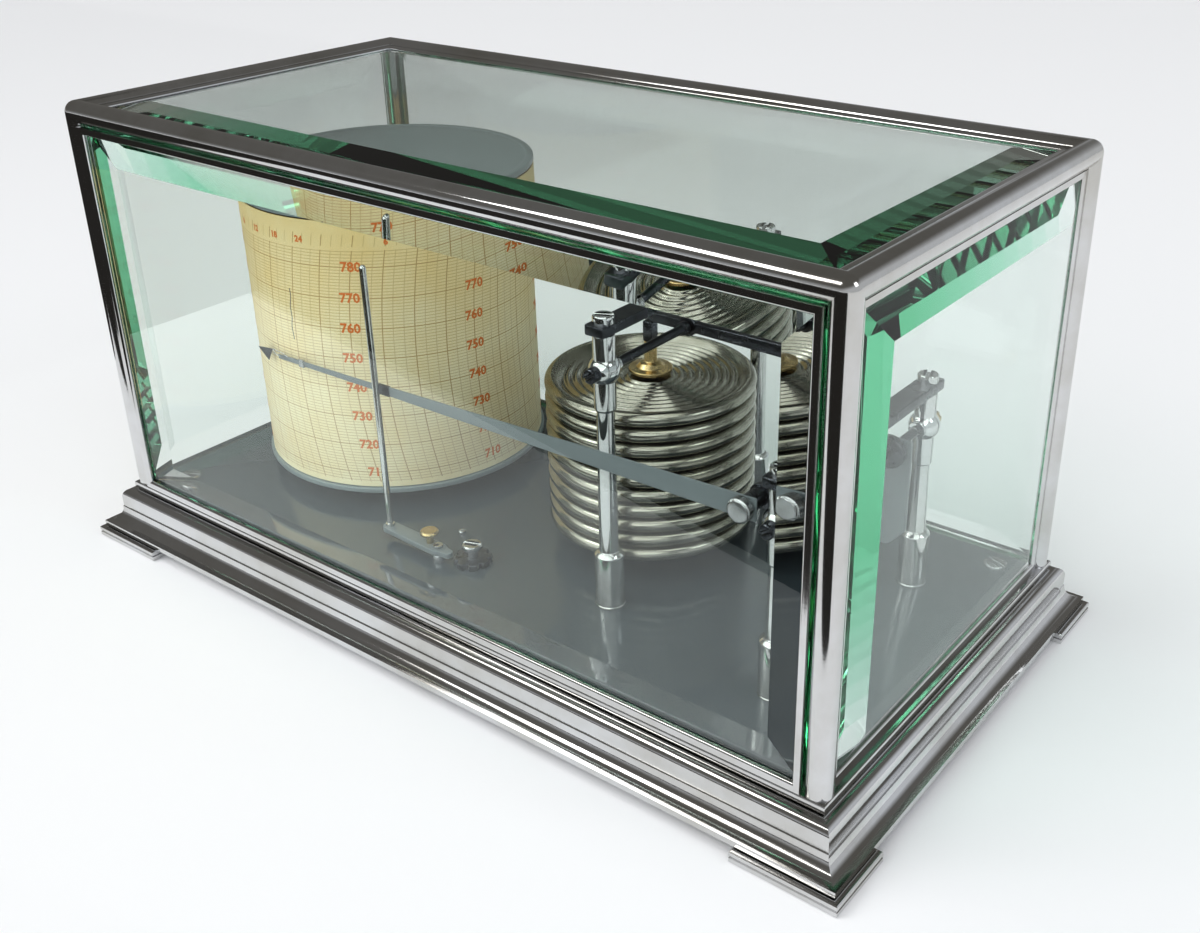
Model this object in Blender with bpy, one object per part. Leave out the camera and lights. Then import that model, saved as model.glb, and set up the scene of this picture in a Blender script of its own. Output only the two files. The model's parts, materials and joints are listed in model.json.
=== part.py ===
"""Barograph in a chrome-framed case of bevelled glass: a recording aneroid barometer.

Frame: +X runs along the case to the right, +Y to the back, +Z up.  The origin is on the
table, under the middle of the case.  Lengths below are millimetres; MM turns them into
metres.  The glass cover lifts straight off the plinth.  Under it stand the clock drum with
its chart, the stack of aneroid capsules, two pairs of ball-headed pillars that carry the
lever spindle and the pen spindle, the pen arm, and the pen lifter.
"""

import math

import bmesh
import bpy
from mathutils import Matrix, Vector

MM = 0.001
GAP = 0.3

# Case
LEDGE_X, LEDGE_Y = 272.4, 134.7
FOOT_OUT = 10.2
FOOT_TOP = 3.5
PLINTH_BOTTOM = 3.8
PLINTH_TOP = 17.3
RAIL_TOP = 20.1
TUBE_R = 3.5
POST_X, POST_Y = 132.5, 63.6
FRAME_Z = 145.9
BEVEL = 11.5
BEVEL_DEPTH = 2.2
GLASS = 5.3
PLATE_X, PLATE_Y = 260.0, 119.4
PLATE_TOP = 21.8
PLATE_THICK = 3.0
FLOOR = PLATE_TOP + GAP

# Clock drum
DRUM_AT = (-77.9, 9.4)
PAPER_R = 46.5
PAPER_THICK = 0.3
DRUM_BOTTOM, DRUM_TOP = 29.0, 120.2
WHEEL_TEETH, PINION_TEETH = 60, 12
TOOTH_MODULE = 0.5
GEAR_Z = (23.4, 25.8)

# Aneroid stack
STACK_AT = (29.8, 9.5)
CAPSULES = 10
CAPSULE_R = 31.45
CAPSULE_PITCH = 4.8
BEAD_R = 2.2
WALL_Z = 1.2
LOWEST_CAPSULE = 32.0
TOP_CAPSULE = LOWEST_CAPSULE + (CAPSULES - 1) * CAPSULE_PITCH
POST_CLEARANCE = 1.2

# Pillars and spindles
LEVER_X, LEVER_Z = 44.0, 95.0
LEVER_PILLARS = (-29.0, 46.0)
PEN_X, PEN_Z = 104.5, 73.0
PEN_PILLARS = (-37.2, 29.4)
BALL_R = 4.4
NECK = 10.1
BRIDGE_THICK = 2.9
BRIDGE_WIDTH = 6.4
BRIDGE_END = 4.2
SPINDLE_R = 1.3

# Linkage
LEVER_PLANE = (8.0, 11.0)
LINK_PLANE = (6.6, 7.6)
LINK_X = 90.0
LEVER_HALF_HEIGHT = 1.5
PIN_R = 0.75

# Pen arm
ARM_PLANE = (-38.7, -38.2)
ARM_HUB = (95.0, 74.6)
ARM_FROM, ARM_STEP, ARM_TO = 98.6, -34.0, -81.5
ARM_SLOPE = 0.020
NIB_TIP = (-88.0, -37.1, 69.6)

# Pen lifter
LIFTER_PIVOT = (-12.4, -41.6)
LIFTER_ROD = (-34.0, -40.8)
LIFTER_Z = (24.8, 26.6)
LIFTER_TOP = 111.6
SET_WHEEL_AT = (-3.5, -36.2)


def clear_scene():
    """Remove every object, so the file starts empty."""
    for found in list(bpy.data.objects):
        bpy.data.objects.remove(found, do_unlink=True)


def material(name, colour, roughness, metallic, alpha=1.0):
    """A Principled material with one colour, roughness and metallic value."""
    made = bpy.data.materials.get(name)
    if made:
        return made
    made = bpy.data.materials.new(name)
    made.use_nodes = True
    shader = made.node_tree.nodes["Principled BSDF"]
    shader.inputs["Base Color"].default_value = (*colour, 1.0)
    shader.inputs["Roughness"].default_value = roughness
    shader.inputs["Metallic"].default_value = metallic
    shader.inputs["Alpha"].default_value = alpha
    return made


def chrome():
    return material("chrome", (0.62, 0.62, 0.63), 0.12, 1.0)


def glass():
    return material("bevelled_glass", (0.86, 0.95, 0.92), 0.02, 0.0, 0.3)


def grey_paint():
    return material("grey_enamel", (0.19, 0.21, 0.23), 0.25, 0.0)


def black_wood():
    return material("stained_board", (0.04, 0.035, 0.03), 0.6, 0.0)


def capsule_metal():
    return material("nickel_silver", (0.52, 0.5, 0.43), 0.3, 1.0)


def brass():
    return material("brass", (0.6, 0.46, 0.22), 0.3, 1.0)


def steel():
    return material("steel", (0.5, 0.51, 0.53), 0.3, 1.0)


def bronzed():
    return material("bronzed_steel", (0.12, 0.12, 0.13), 0.35, 1.0)


def paper():
    return material("chart_paper", (0.84, 0.72, 0.5), 0.85, 0.0)


def add_object(name, bm, look, at=(0.0, 0.0, 0.0), smooth=None):
    """Turn a bmesh in millimetres into a named object in metres, at a place."""
    bmesh.ops.recalc_face_normals(bm, faces=bm.faces[:])
    bmesh.ops.scale(bm, vec=(MM, MM, MM), verts=bm.verts[:])
    mesh = bpy.data.meshes.new(name)
    bm.to_mesh(mesh)
    bm.free()
    if smooth is not None:
        mesh.shade_smooth()
        mesh.set_sharp_from_angle(angle=math.radians(smooth))
    made = bpy.data.objects.new(name, mesh)
    made.location = Vector(at) * MM
    made.data.materials.append(look)
    bpy.context.collection.objects.link(made)
    return made


def box(name, low, high, look):
    """A rectangular block between two corners."""
    bm = bmesh.new()
    bmesh.ops.create_cube(bm, size=1.0)
    size = [b - a for a, b in zip(low, high)]
    centre = [(a + b) / 2 for a, b in zip(low, high)]
    bmesh.ops.scale(bm, vec=size, verts=bm.verts[:])
    bmesh.ops.translate(bm, vec=centre, verts=bm.verts[:])
    return add_object(name, bm, look)


def turned(name, profile, look, at=(0.0, 0.0), steps=24, smooth=35):
    """Spin a closed outline of (radius, height) points about a vertical axis.

    A point of radius 0 becomes one vertex on the axis.
    """
    bm = bmesh.new()
    rings = []
    for radius, height in profile:
        if radius == 0:
            rings.append([bm.verts.new((0.0, 0.0, height))])
            continue
        turns = [2 * math.pi * k / steps for k in range(steps)]
        rings.append([bm.verts.new((radius * math.cos(t), radius * math.sin(t), height)) for t in turns])
    closed = profile[0][0] > 0
    pairs = list(zip(rings, rings[1:] + rings[:1])) if closed else list(zip(rings, rings[1:]))
    for first, second in pairs:
        for k in range(steps):
            after = (k + 1) % steps
            corners = [first[k % len(first)], first[after % len(first)],
                       second[after % len(second)], second[k % len(second)]]
            bm.faces.new(list(dict.fromkeys(corners)))
    return add_object(name, bm, look, (*at, 0.0), smooth)


def plate(name, outline, low, high, look, axis="Z", at=(0.0, 0.0, 0.0), smooth=None):
    """Give a flat outline a thickness from low to high along Y or Z.

    With axis Z the outline lies in X and Y; with axis Y it lies in X and Z.
    """
    bm = bmesh.new()
    if axis == "Z":
        ring = [bm.verts.new((x, y, low)) for x, y in outline]
        step = (0.0, 0.0, high - low)
    else:
        ring = [bm.verts.new((x, low, z)) for x, z in outline]
        step = (0.0, high - low, 0.0)
    face = bm.faces.new(ring)
    pushed = bmesh.ops.extrude_face_region(bm, geom=[face])["geom"]
    moved = [found for found in pushed if isinstance(found, bmesh.types.BMVert)]
    bmesh.ops.translate(bm, vec=step, verts=moved)
    return add_object(name, bm, look, at, smooth)


def circle_points(centre, radius, steps, start=0.0, sweep=360.0):
    """Points along an arc; a full circle leaves out the repeated last point."""
    count = steps if sweep == 360.0 else steps + 1
    turns = [math.radians(start + sweep * k / steps) for k in range(count)]
    return [(centre[0] + radius * math.cos(t), centre[1] + radius * math.sin(t)) for t in turns]


def strap(ends, radii, steps=10):
    """Outline of a flat bar with a round end about each of two centres."""
    (ax, ay), (bx, by) = ends
    along = math.degrees(math.atan2(by - ay, bx - ax))
    first = circle_points(ends[0], radii[0], steps, along + 90, 180)
    second = circle_points(ends[1], radii[1], steps, along - 90, 180)
    return first + second


def combine(target, helper, operation):
    """Join a helper shape to a piece, or cut it out, and keep the helper out of the model."""
    helper.hide_render = True
    helper.display_type = "WIRE"
    step = target.modifiers.new(operation.lower(), "BOOLEAN")
    step.operation = operation
    step.solver = "EXACT"
    step.object = helper
    return target


def round_bar(name, centre, radius, length, look, axis="Y", steps=16):
    """A plain cylinder centred on a point in millimetres, along Y or Z."""
    bm = bmesh.new()
    bmesh.ops.create_cone(bm, cap_ends=True, segments=steps, radius1=radius, radius2=radius, depth=length)
    if axis == "Y":
        bmesh.ops.rotate(bm, matrix=Matrix.Rotation(math.radians(90), 3, "X"), verts=bm.verts[:])
    return add_object(name, bm, look, centre, 30)


def drill(target, centre, radius, length, axis="Y"):
    """Cut a round hole, centred on a point in millimetres, along Y or Z."""
    name = f"{target.name}_hole_{len(target.modifiers)}"
    cutter = round_bar(name, centre, radius, length, target.data.materials[0], axis)
    return combine(target, cutter, "DIFFERENCE")


def rectangle_sweep(name, profile, half_x, half_y, look, smooth=None):
    """Carry an outline of (offset, height) points round a rectangle with mitred corners."""
    bm = bmesh.new()
    corners = ((-1, -1), (1, -1), (1, 1), (-1, 1))
    loops = []
    for sx, sy in corners:
        loops.append([bm.verts.new((sx * (half_x + out), sy * (half_y + out), z)) for out, z in profile])
    for first, second in zip(loops, loops[1:] + loops[:1]):
        for k in range(len(profile)):
            after = (k + 1) % len(profile)
            bm.faces.new((first[k], second[k], second[after], first[after]))
    return add_object(name, bm, look, smooth=smooth)


def plinth():
    """Moulded base ring, its board, the instrument plate and the four corner feet."""
    ovolo = circle_points((0.6, PLINTH_TOP - 3.0), 3.0, 4, 90, -90)
    cove = circle_points((8.7, 10.6), 4.9, 4, 180, 90)
    outer = [(-0.2, PLINTH_TOP)] + ovolo + cove + [(8.7, PLINTH_BOTTOM)]
    inner = [(-6.0, PLINTH_BOTTOM), (-6.0, PLINTH_TOP)]
    rectangle_sweep("base_moulding", outer + inner, LEDGE_X / 2, LEDGE_Y / 2, chrome(), 40)

    board_x = LEDGE_X / 2 - 6.0 - GAP
    board_y = LEDGE_Y / 2 - 6.0 - GAP
    board_top = PLATE_TOP - PLATE_THICK - GAP
    box("base_board", (-board_x, -board_y, PLINTH_BOTTOM), (board_x, board_y, board_top), black_wood())
    box("base_plate", (-PLATE_X / 2, -PLATE_Y / 2, board_top + GAP),
        (PLATE_X / 2, PLATE_Y / 2, PLATE_TOP), grey_paint())

    edge_x = LEDGE_X / 2 + FOOT_OUT
    edge_y = LEDGE_Y / 2 + FOOT_OUT
    for name, sx, sy in (("foot_front_left", -1, -1), ("foot_front_right", 1, -1),
                         ("foot_back_right", 1, 1), ("foot_back_left", -1, 1)):
        leg_x, leg_y, arm = 30.0, 22.0, 11.0
        ell = [(0, 0), (leg_x, 0), (leg_x, arm), (arm, arm), (arm, leg_y), (0, leg_y)]
        outline = [(sx * (edge_x - u), sy * (edge_y - v)) for u, v in ell]
        plate(name, outline, 0.0, FOOT_TOP, chrome())


def bevelled_pane(name, low, high, outward, bevels):
    """A glass pane with one face bevelled along its four edges.

    low and high are opposite corners, outward is (axis index, side), and bevels gives the
    bevel widths (first low, first high, second low, second high) along the other two axes.
    """
    axis, side = outward
    first, second = [k for k in range(3) if k != axis]
    back = low[axis] if side > 0 else high[axis]
    front = high[axis] if side > 0 else low[axis]
    shoulder = front - side * BEVEL_DEPTH
    inset = ((low[first] + bevels[0], high[first] - bevels[1]),
             (low[second] + bevels[2], high[second] - bevels[3]))
    full = ((low[first], high[first]), (low[second], high[second]))
    bm = bmesh.new()
    loops = []
    for place, (us, vs) in ((back, full), (shoulder, full), (front, inset)):
        loop = []
        for i, j in ((0, 0), (1, 0), (1, 1), (0, 1)):
            point = [0.0, 0.0, 0.0]
            point[axis], point[first], point[second] = place, us[i], vs[j]
            loop.append(bm.verts.new(point))
        loops.append(loop)
    bm.faces.new(loops[0])
    bm.faces.new(loops[-1])
    for near, far in zip(loops, loops[1:]):
        for k in range(4):
            after = (k + 1) % 4
            bm.faces.new((near[k], near[after], far[after], far[k]))
    return add_object(name, bm, glass())


def cover():
    """Lift-off cover: bottom rail, four round posts, a round top frame and five panes."""
    flat = [(-5.2, PLINTH_TOP + GAP), (0.0, PLINTH_TOP + GAP), (0.0, RAIL_TOP), (-5.2, RAIL_TOP)]
    rectangle_sweep("cover_bottom_rail", flat, LEDGE_X / 2, LEDGE_Y / 2, chrome())
    ring = circle_points((0.0, FRAME_Z), TUBE_R, 16)
    rectangle_sweep("cover_top_frame", ring, POST_X, POST_Y, chrome(), 30)

    low_z = RAIL_TOP + GAP
    high_z = FRAME_Z - TUBE_R - GAP
    for name, sx, sy in (("post_front_left", -1, -1), ("post_front_right", 1, -1),
                         ("post_back_right", 1, 1), ("post_back_left", -1, 1)):
        profile = [(0, high_z), (TUBE_R, high_z), (TUBE_R, low_z), (0, low_z)]
        turned(name, profile, chrome(), (sx * POST_X, sy * POST_Y), steps=20)

    side_x = POST_X - TUBE_R - GAP
    side_y = POST_Y - TUBE_R - GAP
    upright = (BEVEL, BEVEL, BEVEL - 3.0, BEVEL)
    inner_y = PLATE_Y / 2 + 0.5
    inner_x = PLATE_X / 2 + 0.4
    bevelled_pane("glass_front", (-side_x, -inner_y - GLASS, low_z), (side_x, -inner_y, high_z), (1, -1), upright)
    bevelled_pane("glass_back", (-side_x, inner_y, low_z), (side_x, inner_y + GLASS, high_z), (1, 1), upright)
    bevelled_pane("glass_left", (-inner_x - GLASS, -side_y, low_z), (-inner_x, side_y, high_z), (0, -1), upright)
    bevelled_pane("glass_right", (inner_x, -side_y, low_z), (inner_x + GLASS, side_y, high_z), (0, 1), upright)
    top_z = FRAME_Z + 2.3
    bevelled_pane("glass_top", (-side_x, -side_y, top_z - GLASS), (side_x, side_y, top_z), (2, 1), (BEVEL,) * 4)


def gear(name, teeth, low, high, bore, look, at, phase=0.0):
    """A spur wheel with straight-sided teeth, and a round bore if bore is above zero."""
    pitch = teeth * TOOTH_MODULE / 2
    tip = pitch + 0.8 * TOOTH_MODULE
    root = pitch - 1.15 * TOOTH_MODULE
    step = 360.0 / teeth
    outline = []
    for k in range(teeth):
        for radius, part in ((root, -0.36), (tip, -0.14), (tip, 0.14), (root, 0.36)):
            turn = math.radians(phase + step * (k + part))
            outline.append((radius * math.cos(turn), radius * math.sin(turn)))
    made = plate(name, outline, low, high, look, at=(*at, 0.0))
    if bore:
        drill(made, (*at, (low + high) / 2), bore, 3 * (high - low), "Z")
    return made


def clock_drum():
    """Drum, chart and movement that turn together about a fixed arbor, and their gearing."""
    outer = PAPER_R - PAPER_THICK - GAP
    lid_low = DRUM_TOP - 2.0
    wall_low = DRUM_BOTTOM + GAP
    turned("drum_shell", [(outer, lid_low - GAP), (outer, wall_low), (outer - 1.4, wall_low),
                          (outer - 1.4, lid_low - GAP)], brass(), DRUM_AT, 64)
    turned("drum_lid", [(0, DRUM_TOP), (PAPER_R - 0.6, DRUM_TOP), (PAPER_R, DRUM_TOP - 0.6), (PAPER_R, lid_low),
                        (0, lid_low)], grey_paint(), DRUM_AT, 64)
    turned("drum_flange", [(PAPER_R + 0.9, DRUM_BOTTOM), (PAPER_R + 0.9, DRUM_BOTTOM - 1.8),
                           (outer - 3.4, DRUM_BOTTOM - 1.8), (outer - 3.4, DRUM_BOTTOM)],
           grey_paint(), DRUM_AT, 64)
    inner = PAPER_R - PAPER_THICK
    turned("chart_paper", [(PAPER_R, lid_low - GAP), (PAPER_R, wall_low), (inner, wall_low),
                           (inner, lid_low - GAP)], paper(), DRUM_AT, 64)

    clip_r = PAPER_R + GAP
    arc = circle_points(DRUM_AT, clip_r + 0.25, 3, 112, 5) + circle_points(DRUM_AT, clip_r, 3, 117, -5)
    plate("chart_clip", arc, wall_low, lid_low - GAP, brass())

    turned("clock_movement", [(40.0, 62.0), (40.0, wall_low), (3.2, wall_low), (3.2, 62.0)],
           brass(), DRUM_AT, 40)
    turned("drum_arbor", [(0, 112.0), (2.6, 110.0), (2.6, 22.4), (6.0, 22.4), (6.0, FLOOR), (0, FLOOR)],
           steel(), DRUM_AT, 20)
    gear("fixed_wheel", WHEEL_TEETH, *GEAR_Z, 2.9, brass(), DRUM_AT)
    reach = (WHEEL_TEETH + PINION_TEETH) * TOOTH_MODULE / 2
    pinion_at = (DRUM_AT[0] + reach, DRUM_AT[1])
    gear("clock_pinion", PINION_TEETH, *GEAR_Z, 0, steel(), pinion_at, 180.0 / PINION_TEETH + 180.0)


def capsule_stack():
    """Turned foot, corrugated capsules with beaded rims, and the post they push."""
    foot_top = LOWEST_CAPSULE - WALL_Z - GAP
    turned("stack_foot", [(0, foot_top), (7.0, foot_top), (7.0, FLOOR + 3.0), (15.0, FLOOR + 2.0),
                          (15.0, FLOOR), (0, FLOOR)], steel(), STACK_AT)
    bead_at = CAPSULE_R - BEAD_R
    bead = circle_points((bead_at, 0.0), BEAD_R, 4, 90, -180)
    boss_top = CAPSULE_PITCH - WALL_Z - GAP
    for k in range(CAPSULES):
        centre = LOWEST_CAPSULE + k * CAPSULE_PITCH
        crown = [(0, WALL_Z)] if k == CAPSULES - 1 else [(0, boss_top), (3.0, boss_top), (3.0, WALL_Z)]
        half = crown + [(bead_at - 2.6, WALL_Z)] + bead + [(bead_at - 2.6, -WALL_Z), (0, -WALL_Z)]
        turned(f"capsule_{k + 1:02d}", [(r, z + centre) for r, z in half], capsule_metal(), STACK_AT, 32)

    boss = TOP_CAPSULE + WALL_Z + POST_CLEARANCE
    post_top = LEVER_Z - LEVER_HALF_HEIGHT - GAP
    turned("stack_post", [(0, post_top), (1.7, post_top), (1.7, boss + 6.5), (1.9, boss + 6.5),
                          (1.9, boss + 1.0), (6.5, boss + 1.0), (6.5, boss), (0, boss)],
           brass(), STACK_AT)


def pillar(name, x, y, ball_z):
    """A ball-headed pillar on a thick round foot."""
    shaft_low = 39.0
    ball = circle_points((0.0, ball_z), BALL_R, 8, 45, -90)
    profile = [(0, ball_z + NECK), (3.0, ball_z + NECK)]
    profile += ball
    profile += [(3.05, ball_z - 11.4), (2.45, ball_z - 11.8), (2.85, shaft_low), (4.0, shaft_low),
                (4.25, shaft_low - 0.5), (4.25, FLOOR), (0, FLOOR)]
    return turned(name, profile, chrome(), (x, y), steps=20)


def bridge(name, x, ys, ball_z):
    """The flat bar across a pair of pillars."""
    low = ball_z + NECK + GAP
    return box(name, (x - BRIDGE_WIDTH / 2, ys[0] - BRIDGE_END, low),
               (x + BRIDGE_WIDTH / 2, ys[1] + BRIDGE_END, low + BRIDGE_THICK), bronzed())


def pillars_and_bridges():
    """Two pairs of pillars, one for the lever spindle and one for the pen spindle."""
    for word, x, z, ys in (("lever", LEVER_X, LEVER_Z, LEVER_PILLARS), ("pen", PEN_X, PEN_Z, PEN_PILLARS)):
        for place, y in zip(("front", "back"), ys):
            pillar(f"{word}_pillar_{place}", x, y, z)
        bridge(f"{word}_bridge", x, ys, z)


def spindle(name, x, z, ys, look):
    """A plain rod along Y, held between the balls of two pillars."""
    ends = (ys[0] + BALL_R + GAP, ys[1] - BALL_R - GAP)
    outline = circle_points((0.0, 0.0), SPINDLE_R, 14)
    return plate(name, outline, *ends, look, "Y", (x, 0.0, z), 30)


def main_lever():
    """Lever on its spindle: a short arm over the stack post, a long arm to the link."""
    spindle("lever_spindle", LEVER_X, LEVER_Z, LEVER_PILLARS, bronzed())
    short = STACK_AT[0] - LEVER_X
    long = LINK_X - LEVER_X
    r = LEVER_HALF_HEIGHT
    hub = circle_points((0.0, 0.0), 3.0, 8, 150, -120)
    under = circle_points((0.0, 0.0), 3.0, 8, -30, -120)
    right = circle_points((long, 0.0), r + 0.6, 8, 90, -180)
    left = circle_points((short, 0.0), r, 8, -90, -180)
    outline = left + hub + right + under
    made = plate("main_lever", outline, *LEVER_PLANE, bronzed(), "Y", (LEVER_X, 0.0, LEVER_Z))
    middle = sum(LEVER_PLANE) / 2
    drill(made, (LEVER_X, middle, LEVER_Z), SPINDLE_R + GAP, 9.0)
    add_link_pin(made, LEVER_Z)


def link():
    """The flat link that hangs from the long arm and lifts the pen spindle's crank."""
    ends = ((LINK_X, LEVER_Z), (LINK_X, PEN_Z))
    made = plate("lever_link", strap(ends, (2.2, 2.2)), *LINK_PLANE, steel(), "Y")
    for x, z in ends:
        drill(made, (x, sum(LINK_PLANE) / 2, z), PIN_R + 0.5, 6.0)
    return made


def add_link_pin(target, z):
    """Rivet a short pin along Y into a lever, through one eye of the link."""
    front = LINK_PLANE[0] - 0.8
    back = sum(LEVER_PLANE) / 2
    helper = round_bar(f"{target.name}_pin", (LINK_X, (front + back) / 2, z), PIN_R, back - front, steel())
    combine(target, helper, "UNION")


def pen_movement():
    """Pen spindle with its crank, balance plate, carrier, arm, nut and nib."""
    spindle("pen_spindle", PEN_X, PEN_Z, PEN_PILLARS, bronzed())
    at = (PEN_X, 0.0, PEN_Z)
    reach = LINK_X - PEN_X
    crank = plate("link_crank", circle_points((0.0, 0.0), 4.7, 10, -150, 300)
                  + circle_points((reach, 0.0), 1.8, 8, 90, 180), 8.0, 10.4, bronzed(), "Y", at)
    drill(crank, (PEN_X, 9.2, PEN_Z), SPINDLE_R + GAP, 8.0)
    add_link_pin(crank, PEN_Z)

    weight = [(-5.4, 3.4), (5.4, 3.4), (5.4, -24.0), (0.5, -29.5), (-5.4, -29.5)]
    balance = plate("balance_plate", weight, 10.9, 12.1, grey_paint(), "Y", at)
    drill(balance, (PEN_X, 11.5, PEN_Z), SPINDLE_R + GAP, 8.0)

    hub = (ARM_HUB[0] - PEN_X, ARM_HUB[1] - PEN_Z)
    carrier = plate("pen_carrier", strap(((0.0, 0.0), hub), (3.6, 3.2)), -31.6, -29.8, bronzed(), "Y", at)
    drill(carrier, (PEN_X, -30.7, PEN_Z), SPINDLE_R + GAP, 8.0)
    low = ARM_PLANE[1] + GAP
    stud = round_bar("arm_stud", (ARM_HUB[0], (low - 30.7) / 2, ARM_HUB[1]), 2.6, -30.7 - low, steel())
    combine(carrier, stud, "UNION")

    def middle(x):
        return ARM_HUB[1] + ARM_SLOPE * (x - ARM_HUB[0])

    heights = ((ARM_FROM, 6.6), (ARM_STEP, 3.0), (ARM_STEP, 2.0), (ARM_TO, 1.5))
    upper = [(x, middle(x) + h / 2) for x, h in heights]
    lower = [(x, middle(x) - h / 2) for x, h in reversed(heights)]
    plate("pen_arm", upper + lower, *ARM_PLANE, grey_paint(), "Y")

    tip_x, tip_y, tip_z = NIB_TIP
    back_y = ARM_PLANE[0]
    bm = bmesh.new()
    top = [(tip_x - 3.2, back_y, tip_z + 2.6), (tip_x + 4.2, back_y, tip_z + 3.4), (tip_x, tip_y, tip_z + 2.2)]
    corners = [bm.verts.new(point) for point in top + [(tip_x + 0.6, back_y + 0.5, tip_z - 1.6)]]
    for trio in ((0, 1, 2), (0, 2, 3), (1, 3, 2), (0, 3, 1)):
        bm.faces.new([corners[k] for k in trio])
    add_object("pen_nib", bm, bronzed())

    nut_high = ARM_PLANE[0] - GAP
    plate("arm_nut", circle_points((0.0, 0.0), 3.5, 24), nut_high - 2.6, nut_high, steel(), "Y",
          (ARM_HUB[0], 0.0, ARM_HUB[1]), 30)


def lifter():
    """Pivot post, flat lever and upright rod that lift the pen off the chart."""
    turned("lifter_pivot", [(0, 27.4), (0.8, 27.4), (0.8, LIFTER_Z[0] - GAP), (1.6, LIFTER_Z[0] - GAP),
                            (1.6, FLOOR), (0, FLOOR)], steel(), LIFTER_PIVOT, 16)
    lever = plate("lifter_lever", strap((LIFTER_PIVOT, LIFTER_ROD), (2.6, 2.4)), *LIFTER_Z, grey_paint())
    drill(lever, (*LIFTER_PIVOT, sum(LIFTER_Z) / 2), 1.1, 6.0, "Z")
    foot = LIFTER_Z[1] + GAP
    turned("lifter_rod", [(0, LIFTER_TOP), (0.7, LIFTER_TOP - 0.3), (1.0, LIFTER_TOP - 1.0), (1.0, foot),
                          (0, foot)], chrome(), LIFTER_ROD, 16)
    knob = foot + 2.6
    knob_at = (LIFTER_PIVOT[0] - 4.0, LIFTER_PIVOT[1] + 0.6)
    button = turned("lifter_knob", [(0, knob + 1.4), (2.2, knob + 1.2), (2.9, knob + 0.6), (2.9, knob),
                                    (1.0, knob), (1.0, LIFTER_Z[0] + 1.0), (0, LIFTER_Z[0] + 1.0)],
                    steel(), knob_at, 20)
    combine(lever, button, "UNION")


def set_wheel():
    """Lobed wheel on the plate with a slotted mushroom-headed screw in it."""
    outline = []
    for k in range(8):
        for radius, part in ((5.8, -0.34), (5.8, 0.34), (4.7, 0.44), (4.7, 0.56)):
            turn = math.radians(45.0 * (k + part))
            outline.append((radius * math.cos(turn), radius * math.sin(turn)))
    wheel = plate("set_wheel", outline, FLOOR, FLOOR + 1.8, bronzed(), at=(*SET_WHEEL_AT, 0.0))
    drill(wheel, (*SET_WHEEL_AT, FLOOR + 0.9), 1.9, 6.0, "Z")
    turned("set_wheel_screw", [(0, 28.4), (2.2, 28.2), (3.0, 27.4), (3.0, 26.9), (1.6, 26.4), (1.6, FLOOR),
                               (0, FLOOR)], steel(), SET_WHEEL_AT, 20)


def build():
    clear_scene()
    plinth()
    cover()
    clock_drum()
    capsule_stack()
    pillars_and_bridges()
    main_lever()
    link()
    pen_movement()
    lifter()
    set_wheel()


build()
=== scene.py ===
"""Looks of a barograph in a chrome-framed case of bevelled glass.

Lengths are millimetres until a mesh is made, and MM turns them into metres.  +X runs along the
case, +Y to its back, +Z up.  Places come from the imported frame's nodes and joints.
"""

import json
import math

import bpy
import numpy as np
from mathutils import Matrix, Vector


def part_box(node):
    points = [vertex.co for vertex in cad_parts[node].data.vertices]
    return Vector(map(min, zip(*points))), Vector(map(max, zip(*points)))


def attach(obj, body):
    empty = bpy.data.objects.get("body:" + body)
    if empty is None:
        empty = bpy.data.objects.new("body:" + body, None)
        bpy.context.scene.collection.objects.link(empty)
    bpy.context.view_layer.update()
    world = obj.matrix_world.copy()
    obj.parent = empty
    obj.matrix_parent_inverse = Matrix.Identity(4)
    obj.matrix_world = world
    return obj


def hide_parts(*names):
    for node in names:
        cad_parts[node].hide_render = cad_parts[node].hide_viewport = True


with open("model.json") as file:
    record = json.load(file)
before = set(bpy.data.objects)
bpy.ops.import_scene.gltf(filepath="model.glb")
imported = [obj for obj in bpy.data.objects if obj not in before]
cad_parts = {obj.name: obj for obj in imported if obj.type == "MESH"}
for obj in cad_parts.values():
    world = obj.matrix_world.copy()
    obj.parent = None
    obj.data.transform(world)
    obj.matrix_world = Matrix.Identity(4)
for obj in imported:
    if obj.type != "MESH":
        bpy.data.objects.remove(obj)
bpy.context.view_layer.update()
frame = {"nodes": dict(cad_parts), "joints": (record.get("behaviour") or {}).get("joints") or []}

MM = 0.001
WELD = 0.0002
joints = {joint["name"]: joint for joint in frame["joints"]}


# ---------------------------------------------------------------- places in the frame


def corners(node):
    """Lowest and highest corner of a CAD node, in millimetres."""
    low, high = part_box(node)
    return np.array(low) / MM, np.array(high) / MM


def middle(node):
    """Centre of a CAD node's box, in millimetres."""
    low, high = corners(node)
    return (low + high) / 2


def pivot(joint):
    """A point on a joint's axis, in millimetres."""
    return np.array(joints[joint]["pos_m"]) / MM


# ---------------------------------------------------------------- surfaces as grids of points


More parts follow.
